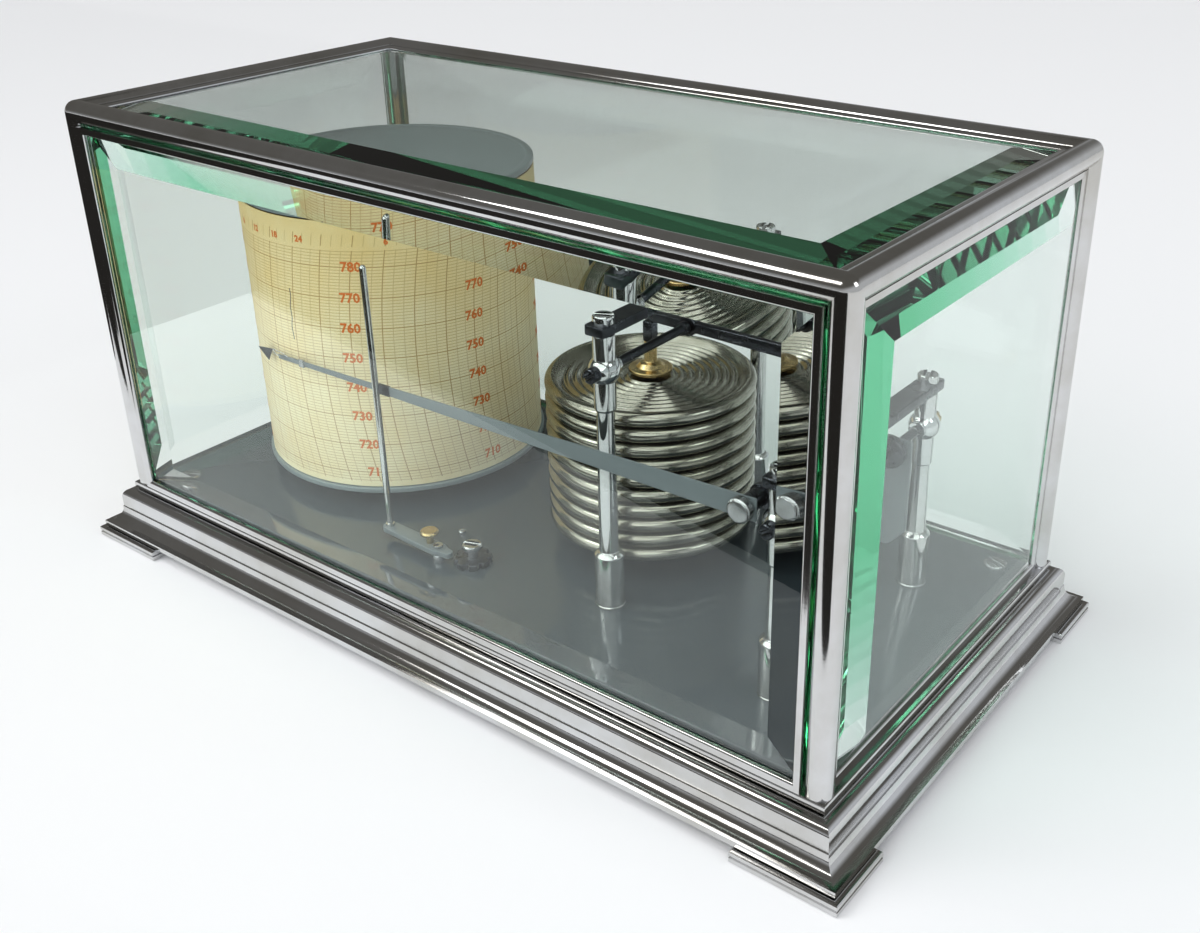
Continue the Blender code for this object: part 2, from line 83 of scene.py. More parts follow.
def surface(name, grids, look, sharp=32.0):
    """One mesh object from grids of points, each (rows, columns, 3) in millimetres.

    Neighbouring points make a quad.  Points that coincide become one vertex, so a row of equal
    points is a pole, and a grid that returns to its first row or column is closed there.  A
    tube's open ends get one flat face each.  A grid's faces are reversed if its signed volume,
    the sum of a . (b x c) over its triangles, is negative.
    """
    spots, faces, start = [], [], 0
    for grid in grids:
        rows, columns = grid.shape[:2]
        flat = grid.reshape(-1, 3)
        keys = np.round(flat / WELD).astype(np.int64)
        _, first, back = np.unique(keys, axis=0, return_index=True, return_inverse=True)
        index = back.ravel().reshape(rows, columns)
        quads = np.stack((index[:-1, :-1], index[1:, :-1], index[1:, 1:], index[:-1, 1:]), -1).reshape(-1, 4)
        twin = quads == np.roll(quads, -1, axis=1)
        group = quads[~twin.any(1)].tolist()
        for k in range(4):
            others = [corner for corner in range(4) if corner != k]
            group += quads[twin[:, k] & (twin.sum(1) == 1)][:, others].tolist()
        tube = (index[:, 0] == index[:, -1]).all() and (index[0] != index[-1]).any()
        ends = (index[0, :-1], index[-1, :-1][::-1]) if tube else ()
        group += [end.tolist() for end in ends if len(set(end.tolist())) > 2]
        fans = np.array([(f[0], f[k], f[k + 1]) for f in group for k in range(1, len(f) - 1)])
        a, b, c = (flat[first][fans[:, k]] for k in range(3))
        if np.einsum("ij,ij->", a, np.cross(b, c)) < 0:
            group = [face[::-1] for face in group]
        faces += [[corner + start for corner in face] for face in group]
        spots.append(flat[first])
        start += len(first)
    mesh = bpy.data.meshes.new(name)
    mesh.from_pydata(np.vstack(spots) * MM, [], faces)
    mesh.materials.append(look)
    mesh.shade_smooth()
    mesh.set_sharp_from_angle(angle=math.radians(sharp))
    made = bpy.data.objects.new(name, mesh)
    bpy.context.collection.objects.link(made)
    return made


def add(name, grids, look, body, slot, *replaced, sharp=32.0):
    """A piece of the object: its surface, the body it rides on, its slot, which is not used, and what it
    stands for.
    """
    made = surface(name, grids, look, sharp)
    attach(made, body)
    if replaced:
        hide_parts(*replaced)
    return made


def arc(centre, radius, steps, start, sweep):
    """Points (centre + radius * (cos t, sin t)) for t from start over sweep, in degrees."""
    turn = np.radians(np.linspace(start, start + sweep, steps + 1))
    return np.column_stack((centre[0] + radius * np.cos(turn), centre[1] + radius * np.sin(turn)))


def circle(centre, radius, steps=48):
    """A closed outline: an arc of a full turn without its repeated last point."""
    return arc(centre, radius, steps, 0, 360)[:-1]


def rectangle(low, high):
    """The four corners between two corners, anticlockwise."""
    return np.array([low, (high[0], low[1]), high, (low[0], high[1])], float)


def strap(ends, radii, steps=12):
    """Outline of a flat bar: a half circle about each of two centres, joined by straight sides."""
    way = np.subtract(ends[1], ends[0])
    along = math.degrees(math.atan2(way[1], way[0]))
    first = arc(ends[0], radii[0], steps, along + 90, 180)
    second = arc(ends[1], radii[1], steps, along - 90, 180)
    return np.vstack((first, second))


def eased(outline, radius, steps=3, closed=True):
    """Rounds corners: B between A and C becomes (1-t)^2 P + 2t(1-t) B + t^2 Q.

    P and Q lie on the sides BA and BC, the radius away or 0.45 of the side if that is less.
    """
    points = np.asarray(outline, float)
    ends = []
    for shift in (1, -1):
        side = np.roll(points, shift, 0) - points
        length = np.linalg.norm(side, axis=1, keepdims=True)
        ends.append((points + side * np.minimum(radius / length, 0.45))[:, None])
    t = np.linspace(0, 1, steps + 1)[None, :, None]
    curve = (1 - t) ** 2 * ends[0] + 2 * t * (1 - t) * points[:, None] + t * t * ends[1]
    if closed:
        return curve.reshape(-1, 2)
    return np.vstack((points[:1], curve[1:-1].reshape(-1, 2), points[-1:]))


def turned(profile, at=(0.0, 0.0, 0.0), axis="Z", steps=48):
    """Surface of revolution: (r, h) goes to (r cos t, r sin t, h), h along the axis from at."""
    r, h = np.asarray(profile, float).T
    t = np.linspace(0, 2 * np.pi, steps + 1)
    grid = np.stack((np.outer(r, np.cos(t)), np.outer(r, np.sin(t)), np.outer(h, np.ones_like(t))), -1)
    if axis == "Y":
        grid = grid[..., [0, 2, 1]]
    return grid + np.asarray(at, float)


def inset(outline, distance):
    """Moves a closed anticlockwise outline inward: each point slides along the mitre of its sides."""
    after = np.roll(outline, -1, 0) - outline
    after /= np.linalg.norm(after, axis=1, keepdims=True)
    before = np.roll(after, 1, 0)
    mitre = (before + after)[:, ::-1] * (-1, 1) / (1 + (before * after).sum(1, keepdims=True))
    return outline + distance * mitre


def stacked(outline, steps, axis="Z"):
    """The same outline at each (inset, height) in turn: a plate whose edge has that section."""
    outline = np.asarray(outline, float)
    after = np.roll(outline, -1, 0)
    if (outline[:, 0] * after[:, 1] - outline[:, 1] * after[:, 0]).sum() < 0:
        outline = outline[::-1]
    rows = []
    for distance, height in steps:
        ring = inset(outline, distance)
        ring = np.vstack((ring, ring[:1]))
        rows.append(np.column_stack((ring, np.full(len(ring), height))))
    grid = np.array(rows)
    return {"Z": grid, "Y": grid[..., [0, 2, 1]], "X": grid[..., [2, 0, 1]]}[axis]


def plate(outline, low, high, edge=0.25, axis="Z", steps=3):
    """A flat plate with quarter-round edges: inset = e (1 - sin t), height = e (1 - cos t)."""
    t = np.radians(np.linspace(0, 90, steps + 1))
    inward, rise = edge * (1 - np.sin(t)), edge * (1 - np.cos(t))
    lower = np.column_stack((inward, low + rise))
    upper = np.column_stack((inward, high - rise))[::-1]
    return stacked(outline, np.vstack((lower, upper)), axis)


def framed(profile, half_x, half_y, rounded=False, axis="Z", at=(0.0, 0.0, 0.0)):
    """An outline of (offset, height) carried round a rectangle.

    Each corner is a mitre, where both coordinates grow by the offset.  When rounded, the part
    outside the path turns the corner as an arc whose radius is the offset.
    """
    ring = np.vstack((profile, profile[:1]))
    out, height = ring[:, 0], ring[:, 1]
    quarter = np.linspace(0, 90, 13) if rounded else np.array([45.0])
    columns = []
    for sx, sy, start in ((1, 1, 0), (-1, 1, 90), (-1, -1, 180), (1, -1, 270)):
        for turn in np.radians(start + quarter):
            arc_x = np.where((out > 0) & rounded, math.cos(turn), sx)
            arc_y = np.where((out > 0) & rounded, math.sin(turn), sy)
            columns.append(np.column_stack((sx * half_x + out * arc_x, sy * half_y + out * arc_y, height)))
    columns.append(columns[0])
    grid = np.stack(columns, 1)
    order = {"Z": [0, 1, 2], "Y": [0, 2, 1], "X": [2, 0, 1]}[axis]
    return grid[..., order] + np.asarray(at, float)


def wire(path, radius, steps=10):
    """A round tube along a path: each ring lies in the plane of two normals carried along it."""
    path = np.asarray(path, float)
    way = np.gradient(path, axis=0)
    way /= np.linalg.norm(way, axis=1, keepdims=True)
    side = np.cross(way, (0.31, 0.82, 0.48))
    side /= np.linalg.norm(side, axis=1, keepdims=True)
    other = np.cross(way, side)
    t = np.linspace(0, 2 * np.pi, steps + 1)[None, :, None]
    return path[:, None] + radius * (np.cos(t) * side[:, None] + np.sin(t) * other[:, None])


def slotted_head(radius, low, high, slot, depth, dome=0.3, turn=0.0):
    """A screw head about the Z axis: a disc with two half discs on it, a slot's width apart."""
    floor = high - depth
    disc = turned([(0, low), (radius, low), (radius, floor), (0, floor)])
    reach = math.degrees(math.asin(slot / 2 / radius))
    grids = [disc]
    steps = [(0, floor - 0.05), (0, high - 2.2 * dome), (0.25 * dome, high - dome),
             (1.1 * dome, high - 0.25 * dome), (3.0 * dome, high)]
    for side in (0, 180):
        half = arc((0, 0), radius, 20, turn + side + reach, 180 - 2 * reach)
        grids.append(stacked(half, steps))
    return grids


def moved(grids, at, axis="Z"):
    """Grids made about the Z axis, laid along an axis (-Y points to the front) and put in place."""
    order = [0, 1, 2] if axis == "Z" else [0, 2, 1]
    sign = (1, -1, 1) if axis == "-Y" else (1, 1, 1)
    return [grid[..., order] * sign + np.asarray(at, float) for grid in grids]


# ---------------------------------------------------------------- materials


def metal(name, clean, dull, roughness, patch, scratches, bump):
    """Polished or satin metal: cloudy tarnish between two colours, fingered gloss, fine scratches."""
    made = bpy.data.materials.new(name)
    made.use_nodes = True
    nodes, links = made.node_tree.nodes, made.node_tree.links
    nodes.clear()
    out = nodes.new("ShaderNodeOutputMaterial")
    out.label = "metal surface"
    out.location = (900, 0)
    shader = nodes.new("ShaderNodeBsdfPrincipled")
    shader.label = "solid metal"
    shader.location = (600, 0)
    shader.inputs["Metallic"].default_value = 1.0
    tarnish = nodes.new("NodeFrame")
    tarnish.label = "tarnish clouds"
    polish = nodes.new("NodeFrame")
    polish.label = "polishing marks"
    place = nodes.new("ShaderNodeTexCoord")
    place.label = "place on the piece"
    place.location = (-900, 0)
    cloud = nodes.new("ShaderNodeTexNoise")
    cloud.label = "where hands have been"
    cloud.location = (-600, 250)
    cloud.parent = tarnish
    cloud.inputs["Scale"].default_value = patch
    cloud.inputs["Detail"].default_value = 6.0
    cloud.inputs["Roughness"].default_value = 0.62
    spread = nodes.new("ShaderNodeMapRange")
    spread.label = "edge of the clouds"
    spread.location = (-350, 250)
    spread.parent = tarnish
    spread.inputs["From Min"].default_value = 0.38
    spread.inputs["From Max"].default_value = 0.72
    colour = nodes.new("ShaderNodeMix")
    colour.data_type = "RGBA"
    colour.label = "clean to dull"
    colour.location = (-100, 250)
    colour.parent = tarnish
    colour.inputs[6].default_value = (*clean, 1.0)
    colour.inputs[7].default_value = (*dull, 1.0)
    gloss = nodes.new("ShaderNodeMapRange")
    gloss.label = "dull patches are rougher"
    gloss.location = (-100, 0)
    gloss.parent = tarnish
    gloss.inputs["From Min"].default_value = 0.3
    gloss.inputs["From Max"].default_value = 0.75
    gloss.inputs["To Min"].default_value = roughness[0]
    gloss.inputs["To Max"].default_value = roughness[1]
    marks = nodes.new("ShaderNodeTexNoise")
    marks.label = "fine scratches"
    marks.location = (-350, -300)
    marks.parent = polish
    marks.inputs["Scale"].default_value = scratches
    marks.inputs["Detail"].default_value = 3.0
    relief = nodes.new("ShaderNodeBump")
    relief.label = "depth of the scratches"
    relief.location = (-100, -300)
    relief.parent = polish
    relief.inputs["Strength"].default_value = bump
    relief.inputs["Distance"].default_value = 0.0001
    links.new(place.outputs["Object"], cloud.inputs["Vector"])
    links.new(cloud.outputs["Fac"], spread.inputs["Value"])
    links.new(spread.outputs["Result"], colour.inputs[0])
    links.new(colour.outputs[2], shader.inputs["Base Color"])
    links.new(cloud.outputs["Fac"], gloss.inputs["Value"])
    links.new(gloss.outputs["Result"], shader.inputs["Roughness"])
    links.new(place.outputs["Object"], marks.inputs["Vector"])
    links.new(marks.outputs["Fac"], relief.inputs["Height"])
    links.new(relief.outputs["Normal"], shader.inputs["Normal"])
    links.new(shader.outputs["BSDF"], out.inputs["Surface"])
    return made


def enamel(name, colour, shade, roughness, coat, ripple, ripple_scale):
    """Sprayed grey paint: a faint change of shade, a clear top coat and a rippled skin."""
    made = bpy.data.materials.new(name)
    made.use_nodes = True
    nodes, links = made.node_tree.nodes, made.node_tree.links
    nodes.clear()
    out = nodes.new("ShaderNodeOutputMaterial")
    out.label = "painted surface"
    out.location = (900, 0)
    shader = nodes.new("ShaderNodeBsdfPrincipled")
    shader.label = "paint under a clear skin"
    shader.location = (600, 0)
    shader.inputs["Coat Weight"].default_value = coat
    shader.inputs["Coat Roughness"].default_value = 0.06
    tint = nodes.new("NodeFrame")
    tint.label = "shade and dust"
    skin = nodes.new("NodeFrame")
    skin.label = "rippled skin"
    place = nodes.new("ShaderNodeTexCoord")
    place.label = "place on the piece"
    place.location = (-900, 0)
    cloud = nodes.new("ShaderNodeTexNoise")
    cloud.label = "uneven spray"
    cloud.location = (-600, 250)
    cloud.parent = tint
    cloud.inputs["Scale"].default_value = 22.0
    cloud.inputs["Detail"].default_value = 5.0
    mix = nodes.new("ShaderNodeMix")
    mix.data_type = "RGBA"
    mix.label = "paint shade"
    mix.location = (-100, 250)
    mix.parent = tint
    mix.inputs[6].default_value = (*colour, 1.0)
    mix.inputs[7].default_value = (*shade, 1.0)
    dust = nodes.new("ShaderNodeTexNoise")
    dust.label = "dust in the gloss"
    dust.location = (-600, 0)
    dust.parent = tint
    dust.inputs["Scale"].default_value = 120.0
    gloss = nodes.new("ShaderNodeMapRange")
    gloss.label = "gloss of the paint"
    gloss.location = (-100, 0)
    gloss.parent = tint
    gloss.inputs["From Min"].default_value = 0.3
    gloss.inputs["From Max"].default_value = 0.8
    gloss.inputs["To Min"].default_value = roughness
    gloss.inputs["To Max"].default_value = roughness + 0.03
    swell = nodes.new("ShaderNodeTexNoise")
    swell.label = "slow ripple of the coat"
    swell.location = (-350, -300)
    swell.parent = skin
    swell.inputs["Scale"].default_value = ripple_scale
    swell.inputs["Detail"].default_value = 2.0
    relief = nodes.new("ShaderNodeBump")
    relief.label = "height of the ripple"
    relief.location = (-100, -300)
    relief.parent = skin
    relief.inputs["Strength"].default_value = ripple
    relief.inputs["Distance"].default_value = 0.0006
    links.new(place.outputs["Object"], cloud.inputs["Vector"])
    links.new(cloud.outputs["Fac"], mix.inputs[0])
    links.new(mix.outputs[2], shader.inputs["Base Color"])
    links.new(place.outputs["Object"], dust.inputs["Vector"])
    links.new(dust.outputs["Fac"], gloss.inputs["Value"])
    links.new(gloss.outputs["Result"], shader.inputs["Roughness"])
    links.new(place.outputs["Object"], swell.inputs["Vector"])
    links.new(swell.outputs["Fac"], relief.inputs["Height"])
    links.new(relief.outputs["Normal"], shader.inputs["Normal"])
    links.new(relief.outputs["Normal"], shader.inputs["Coat Normal"])
    links.new(shader.outputs["BSDF"], out.inputs["Surface"])
    return made


def plate_glass(name):
    """Polished plate glass, clear to lamps, that turns green with the depth looked through."""
    made = bpy.data.materials.new(name)
    made.use_nodes = True
    nodes, links = made.node_tree.nodes, made.node_tree.links
    nodes.clear()
    out = nodes.new("ShaderNodeOutputMaterial")
    out.label = "glass"
    out.location = (700, 0)
    shader = nodes.new("ShaderNodeBsdfPrincipled")
    shader.label = "polished glass"
    shader.location = (100, 100)
    shader.inputs["Base Color"].default_value = (1.0, 1.0, 1.0, 1.0)
    shader.inputs["Roughness"].default_value = 0.0
    shader.inputs["IOR"].default_value = 1.52
    shader.inputs["Transmission Weight"].default_value = 1.0
    lamps = nodes.new("NodeFrame")
    lamps.label = "lets lamps through"
    body = nodes.new("NodeFrame")
    body.label = "colour in the depth"
    face = nodes.new("NodeFrame")
    face.label = "drawn surface"
    path = nodes.new("ShaderNodeLightPath")
    path.label = "kind of ray"
    path.location = (-200, 400)
    path.parent = lamps
    soft = nodes.new("ShaderNodeMath")
    soft.operation = "MAXIMUM"
    soft.label = "lamp or soft light"
    soft.location = (100, 400)
    soft.parent = lamps
    clear = nodes.new("ShaderNodeBsdfTransparent")
    clear.label = "open to lamps"
    clear.location = (100, -420)
    clear.parent = lamps
    clear.inputs["Color"].default_value = (0.955, 0.98, 0.97, 1.0)
    mix = nodes.new("ShaderNodeMixShader")
    mix.label = "glass or open"
    mix.location = (450, 100)
    mix.parent = lamps
    depth = nodes.new("ShaderNodeVolumeAbsorption")
    depth.label = "green of the iron in it"
    depth.location = (450, -200)
    depth.parent = body
    depth.inputs["Color"].default_value = (0.40, 0.86, 0.66, 1.0)
    depth.inputs["Density"].default_value = 17.0
    place = nodes.new("ShaderNodeTexCoord")
    place.label = "place on the pane"
    place.location = (-700, -200)
    place.parent = face
    swell = nodes.new("ShaderNodeTexNoise")
    swell.label = "slow waves of the glass"
    swell.location = (-450, -200)
    swell.parent = face
    swell.inputs["Scale"].default_value = 14.0
    swell.inputs["Detail"].default_value = 1.0
    relief = nodes.new("ShaderNodeBump")
    relief.label = "height of the waves"
    relief.location = (-200, -200)
    relief.parent = face
    relief.inputs["Strength"].default_value = 0.02
    relief.inputs["Distance"].default_value = 0.0005
    links.new(path.outputs["Is Shadow Ray"], soft.inputs[0])
    links.new(path.outputs["Is Diffuse Ray"], soft.inputs[1])
    links.new(soft.outputs["Value"], mix.inputs[0])
    links.new(place.outputs["Object"], swell.inputs["Vector"])
    links.new(swell.outputs["Fac"], relief.inputs["Height"])
    links.new(relief.outputs["Normal"], shader.inputs["Normal"])
    links.new(shader.outputs["BSDF"], mix.inputs[1])
    links.new(clear.outputs["BSDF"], mix.inputs[2])
    links.new(mix.outputs["Shader"], out.inputs["Surface"])
    links.new(depth.outputs["Volume"], out.inputs["Volume"])
    return made


chrome = metal("chrome", (0.72, 0.725, 0.735), (0.55, 0.54, 0.51), (0.05, 0.16),
               patch=26.0, scratches=1400.0, bump=0.05)
glass = plate_glass("bevelled_glass")
plate_paint = enamel("plate_enamel", (0.045, 0.056, 0.068), (0.058, 0.070, 0.082), 0.12, 0.5, 0.03, 28.0)
lid_paint = enamel("lid_enamel", (0.21, 0.24, 0.255), (0.24, 0.27, 0.285), 0.32, 0.1, 0.04, 160.0)
arm_paint = enamel("arm_enamel", (0.16, 0.175, 0.19), (0.20, 0.215, 0.23), 0.30, 0.2, 0.04, 240.0)
nickel = metal("nickel_silver", (0.43, 0.42, 0.37), (0.28, 0.27, 0.215), (0.14, 0.24),
               patch=45.0, scratches=1100.0, bump=0.05)
brass = metal("lacquered_brass", (0.72, 0.56, 0.30), (0.45, 0.34, 0.17), (0.16, 0.36),
              patch=80.0, scratches=1200.0, bump=0.10)
steel = metal("bright_steel", (0.58, 0.585, 0.60), (0.42, 0.42, 0.42), (0.14, 0.30),
              patch=90.0, scratches=1500.0, bump=0.08)
bronzed = metal("bronzed_steel", (0.10, 0.105, 0.12), (0.055, 0.055, 0.06), (0.22, 0.40),
                patch=70.0, scratches=1100.0, bump=0.10)


# ---------------------------------------------------------------- case

TUBE = (corners("post_front_left")[1][0] - corners("post_front_left")[0][0]) / 2
LEDGE = 8.7
BEVEL = 11.5
BEVEL_DEPTH = 3.3
TOP_BEVEL_DEPTH = 2.3
ARRIS = 0.25


def plinth():
    """Ovolo, flat face, cove and fillet, mitred round the base."""
    low, high = corners("base_moulding")
    out = high[0] - LEDGE
    side = high[1] - LEDGE
    roll = arc((0.6, high[2] - 3.0), 3.0, 10, 90, -90)
    face = [(3.6, 13.0), (3.6, 11.0), (3.8, 10.7)]
    cove = arc((LEDGE, 10.6), 4.9, 14, 180, 90)
    fillet = eased([(LEDGE, 5.4), (LEDGE, low[2]), (LEDGE - 0.5, low[2])], 0.4, closed=False)
    outer = np.vstack(([(-0.2, high[2])], roll, face, cove, fillet))
    ring = np.vstack((outer, [(-6.0, low[2]), (-6.0, high[2])]))
    add("plinth_moulding", [framed(ring, out, side)], chrome, "base", "chrome", "base_moulding", sharp=24)


def feet():
    """L-shaped corner plates with a groove round their edge."""
    steps = [(0.3, 0.0), (0.0, 0.3), (0.0, 1.5), (0.4, 1.65), (0.4, 2.05),
             (0.0, 2.2), (0.0, 3.25), (0.25, 3.5)]
    for node, sx, sy in (("foot_front_left", -1, -1), ("foot_front_right", 1, -1),
                         ("foot_back_right", 1, 1), ("foot_back_left", -1, 1)):
        low, high = corners(node)
        long, short = high[0] - low[0], high[1] - low[1]
        arm = 11.0
        ell = [(0, 0), (long, 0), (long, arm), (arm, arm), (arm, short), (0, short)]
        outer_x = high[0] if sx > 0 else low[0]
        outer_y = high[1] if sy > 0 else low[1]
        outline = [(outer_x - sx * u, outer_y - sy * v) for u, v in ell]
        add(f"corner_{node}", [stacked(outline, steps)], chrome, "base", "chrome", node, sharp=24)


def cover_frame():
    """Bottom rail, round top frame and four tube posts."""
    low, high = corners("cover_bottom_rail")
    section = eased([(-5.2, low[2]), (0.0, low[2]), (0.0, high[2]), (-5.2, high[2])], 0.7, 4)
    rail = framed(section, high[0], high[1])
    add("bottom_rail", [rail], chrome, "cover", "chrome", "cover_bottom_rail", sharp=24)

    low, high = corners("cover_top_frame")
    radius = (high[2] - low[2]) / 2
    ring = circle((0.0, (high[2] + low[2]) / 2), radius, 32)
    tube = framed(ring, high[0] - radius, high[1] - radius, rounded=True)
    add("top_frame", [tube], chrome, "cover", "chrome", "cover_top_frame", sharp=50)

    for word in ("front_left", "front_right", "back_right", "back_left"):
        node = f"post_{word}"
        x, y, _ = middle(node)
        foot, top = corners(node)[0][2], (low[2] + high[2]) / 2
        profile = [(0, foot - 0.3), (TUBE - 0.2, foot - 0.3), (TUBE, foot - 0.1), (TUBE, top), (0, top)]
        add(f"tube_{node}", [turned(profile, (x, y, 0), steps=40)], chrome, "cover", "chrome", node)


def panes():
    """Five bevelled panes with ground arrises, and a half-round bead round each."""
    for word, axis, side, within in (("front", 1, -1, True), ("back", 1, 1, True), ("left", 0, -1, False),
                                     ("right", 0, 1, False), ("top", 2, 1, False)):
        node = f"glass_{word}"
        low, high = corners(node)
        first, second = [k for k in range(3) if k != axis]
        inner, outer = (low[axis], high[axis]) if side > 0 else (high[axis], low[axis])
        bottom = BEVEL if word == "top" else BEVEL - 3.0
        u0, u1, v0, v1 = low[first], high[first], low[second], high[second]
        rings = []
        flat, cut, into = (outer, inner, -side) if within else (inner, outer, side)
        deep = TOP_BEVEL_DEPTH if word == "top" else BEVEL_DEPTH
        for u, v, b, depth in ((ARRIS, ARRIS, ARRIS, flat), (0, 0, 0, flat + into * ARRIS),
                               (0, 0, 0, cut - into * deep), (BEVEL, BEVEL, bottom, cut)):
            ring = np.zeros((5, 3))
            ring[:, first] = (u0 + u, u1 - u, u1 - u, u0 + u, u0 + u)
            ring[:, second] = (v0 + b, v0 + b, v1 - v, v1 - v, v0 + b)
            ring[:, axis] = depth
            rings.append(ring)
        add(f"pane_{word}", [np.array(rings)], glass, "cover", "bevelled_glass", node, sharp=1)

        half_u, half_v = (u1 - u0) / 2, (v1 - v0) / 2
        centre = np.zeros(3)
        centre[first], centre[second] = (u0 + u1) / 2, (v0 + v1) / 2
        face = outer if within else outer - side * deep
        section = np.vstack(([(0.3, 0.0), (0.3, 1.3)], arc((-1.0, 0.3), 1.0, 5, 90, 90), [(-2.0, 0.0)]))
        section = section * (1, side) + (0, face + side * 0.35)
        letter = "XYZ"[axis]
        bead = framed(section, half_u, half_v, axis=letter, at=centre)
        add(f"glazing_bead_{word}", [bead], chrome, "cover", "chrome", sharp=24)


plinth()
feet()
cover_frame()
panes()


# ---------------------------------------------------------------- bed plate


def bed_plate():
    """Grey plate with eased edges, and a slotted screw near each corner."""
    low, high = corners("base_plate")
    outline = eased(rectangle(low[:2], high[:2]), 1.2, 4)
    sheet = plate(outline, low[2], high[2], 0.7, steps=4)
    add("bed_plate", [sheet], plate_paint, "base", "grey_enamel", "base_plate")
    for k, (sx, sy) in enumerate(((-1, -1), (1, -1), (1, 1), (-1, 1))):
        head = slotted_head(3.5, high[2] - 0.4, high[2] + 0.9, 0.9, 0.7, 0.25, 25.0 + 67.0 * k)
        at = (sx * (high[0] - 9.5), sy * (high[1] - 7.2), 0.0)
        add(f"plate_screw_{k + 1}", moved(head, at), steel, "base", "steel")


bed_plate()
PLATE_TOP = corners("base_plate")[1][2]


# ---------------------------------------------------------------- drum and chart

HOUR_ARC = 1.635
FIRST_COLUMN = math.radians(-60.3)
UNIT_RISE = 0.99
DATUM_VALUE = 760
DATUM_Z = 84.0
LEVEL_FIGURE = 3.0
HOUR_FIGURE = 1.9
HOUR_FIGURE_Z = 111.6
INK_LIFT = 0.03
SEAM = 111.5
SEAM_SPAN = 6
ARM_REACH = 193.0


def bend(z):
    """How far a time line leans at a height: R - sqrt(R^2 - dz^2), R the pen arm's reach."""
    return ARM_REACH - np.sqrt(ARM_REACH ** 2 - (z - pivot("pen_swing")[2]) ** 2)


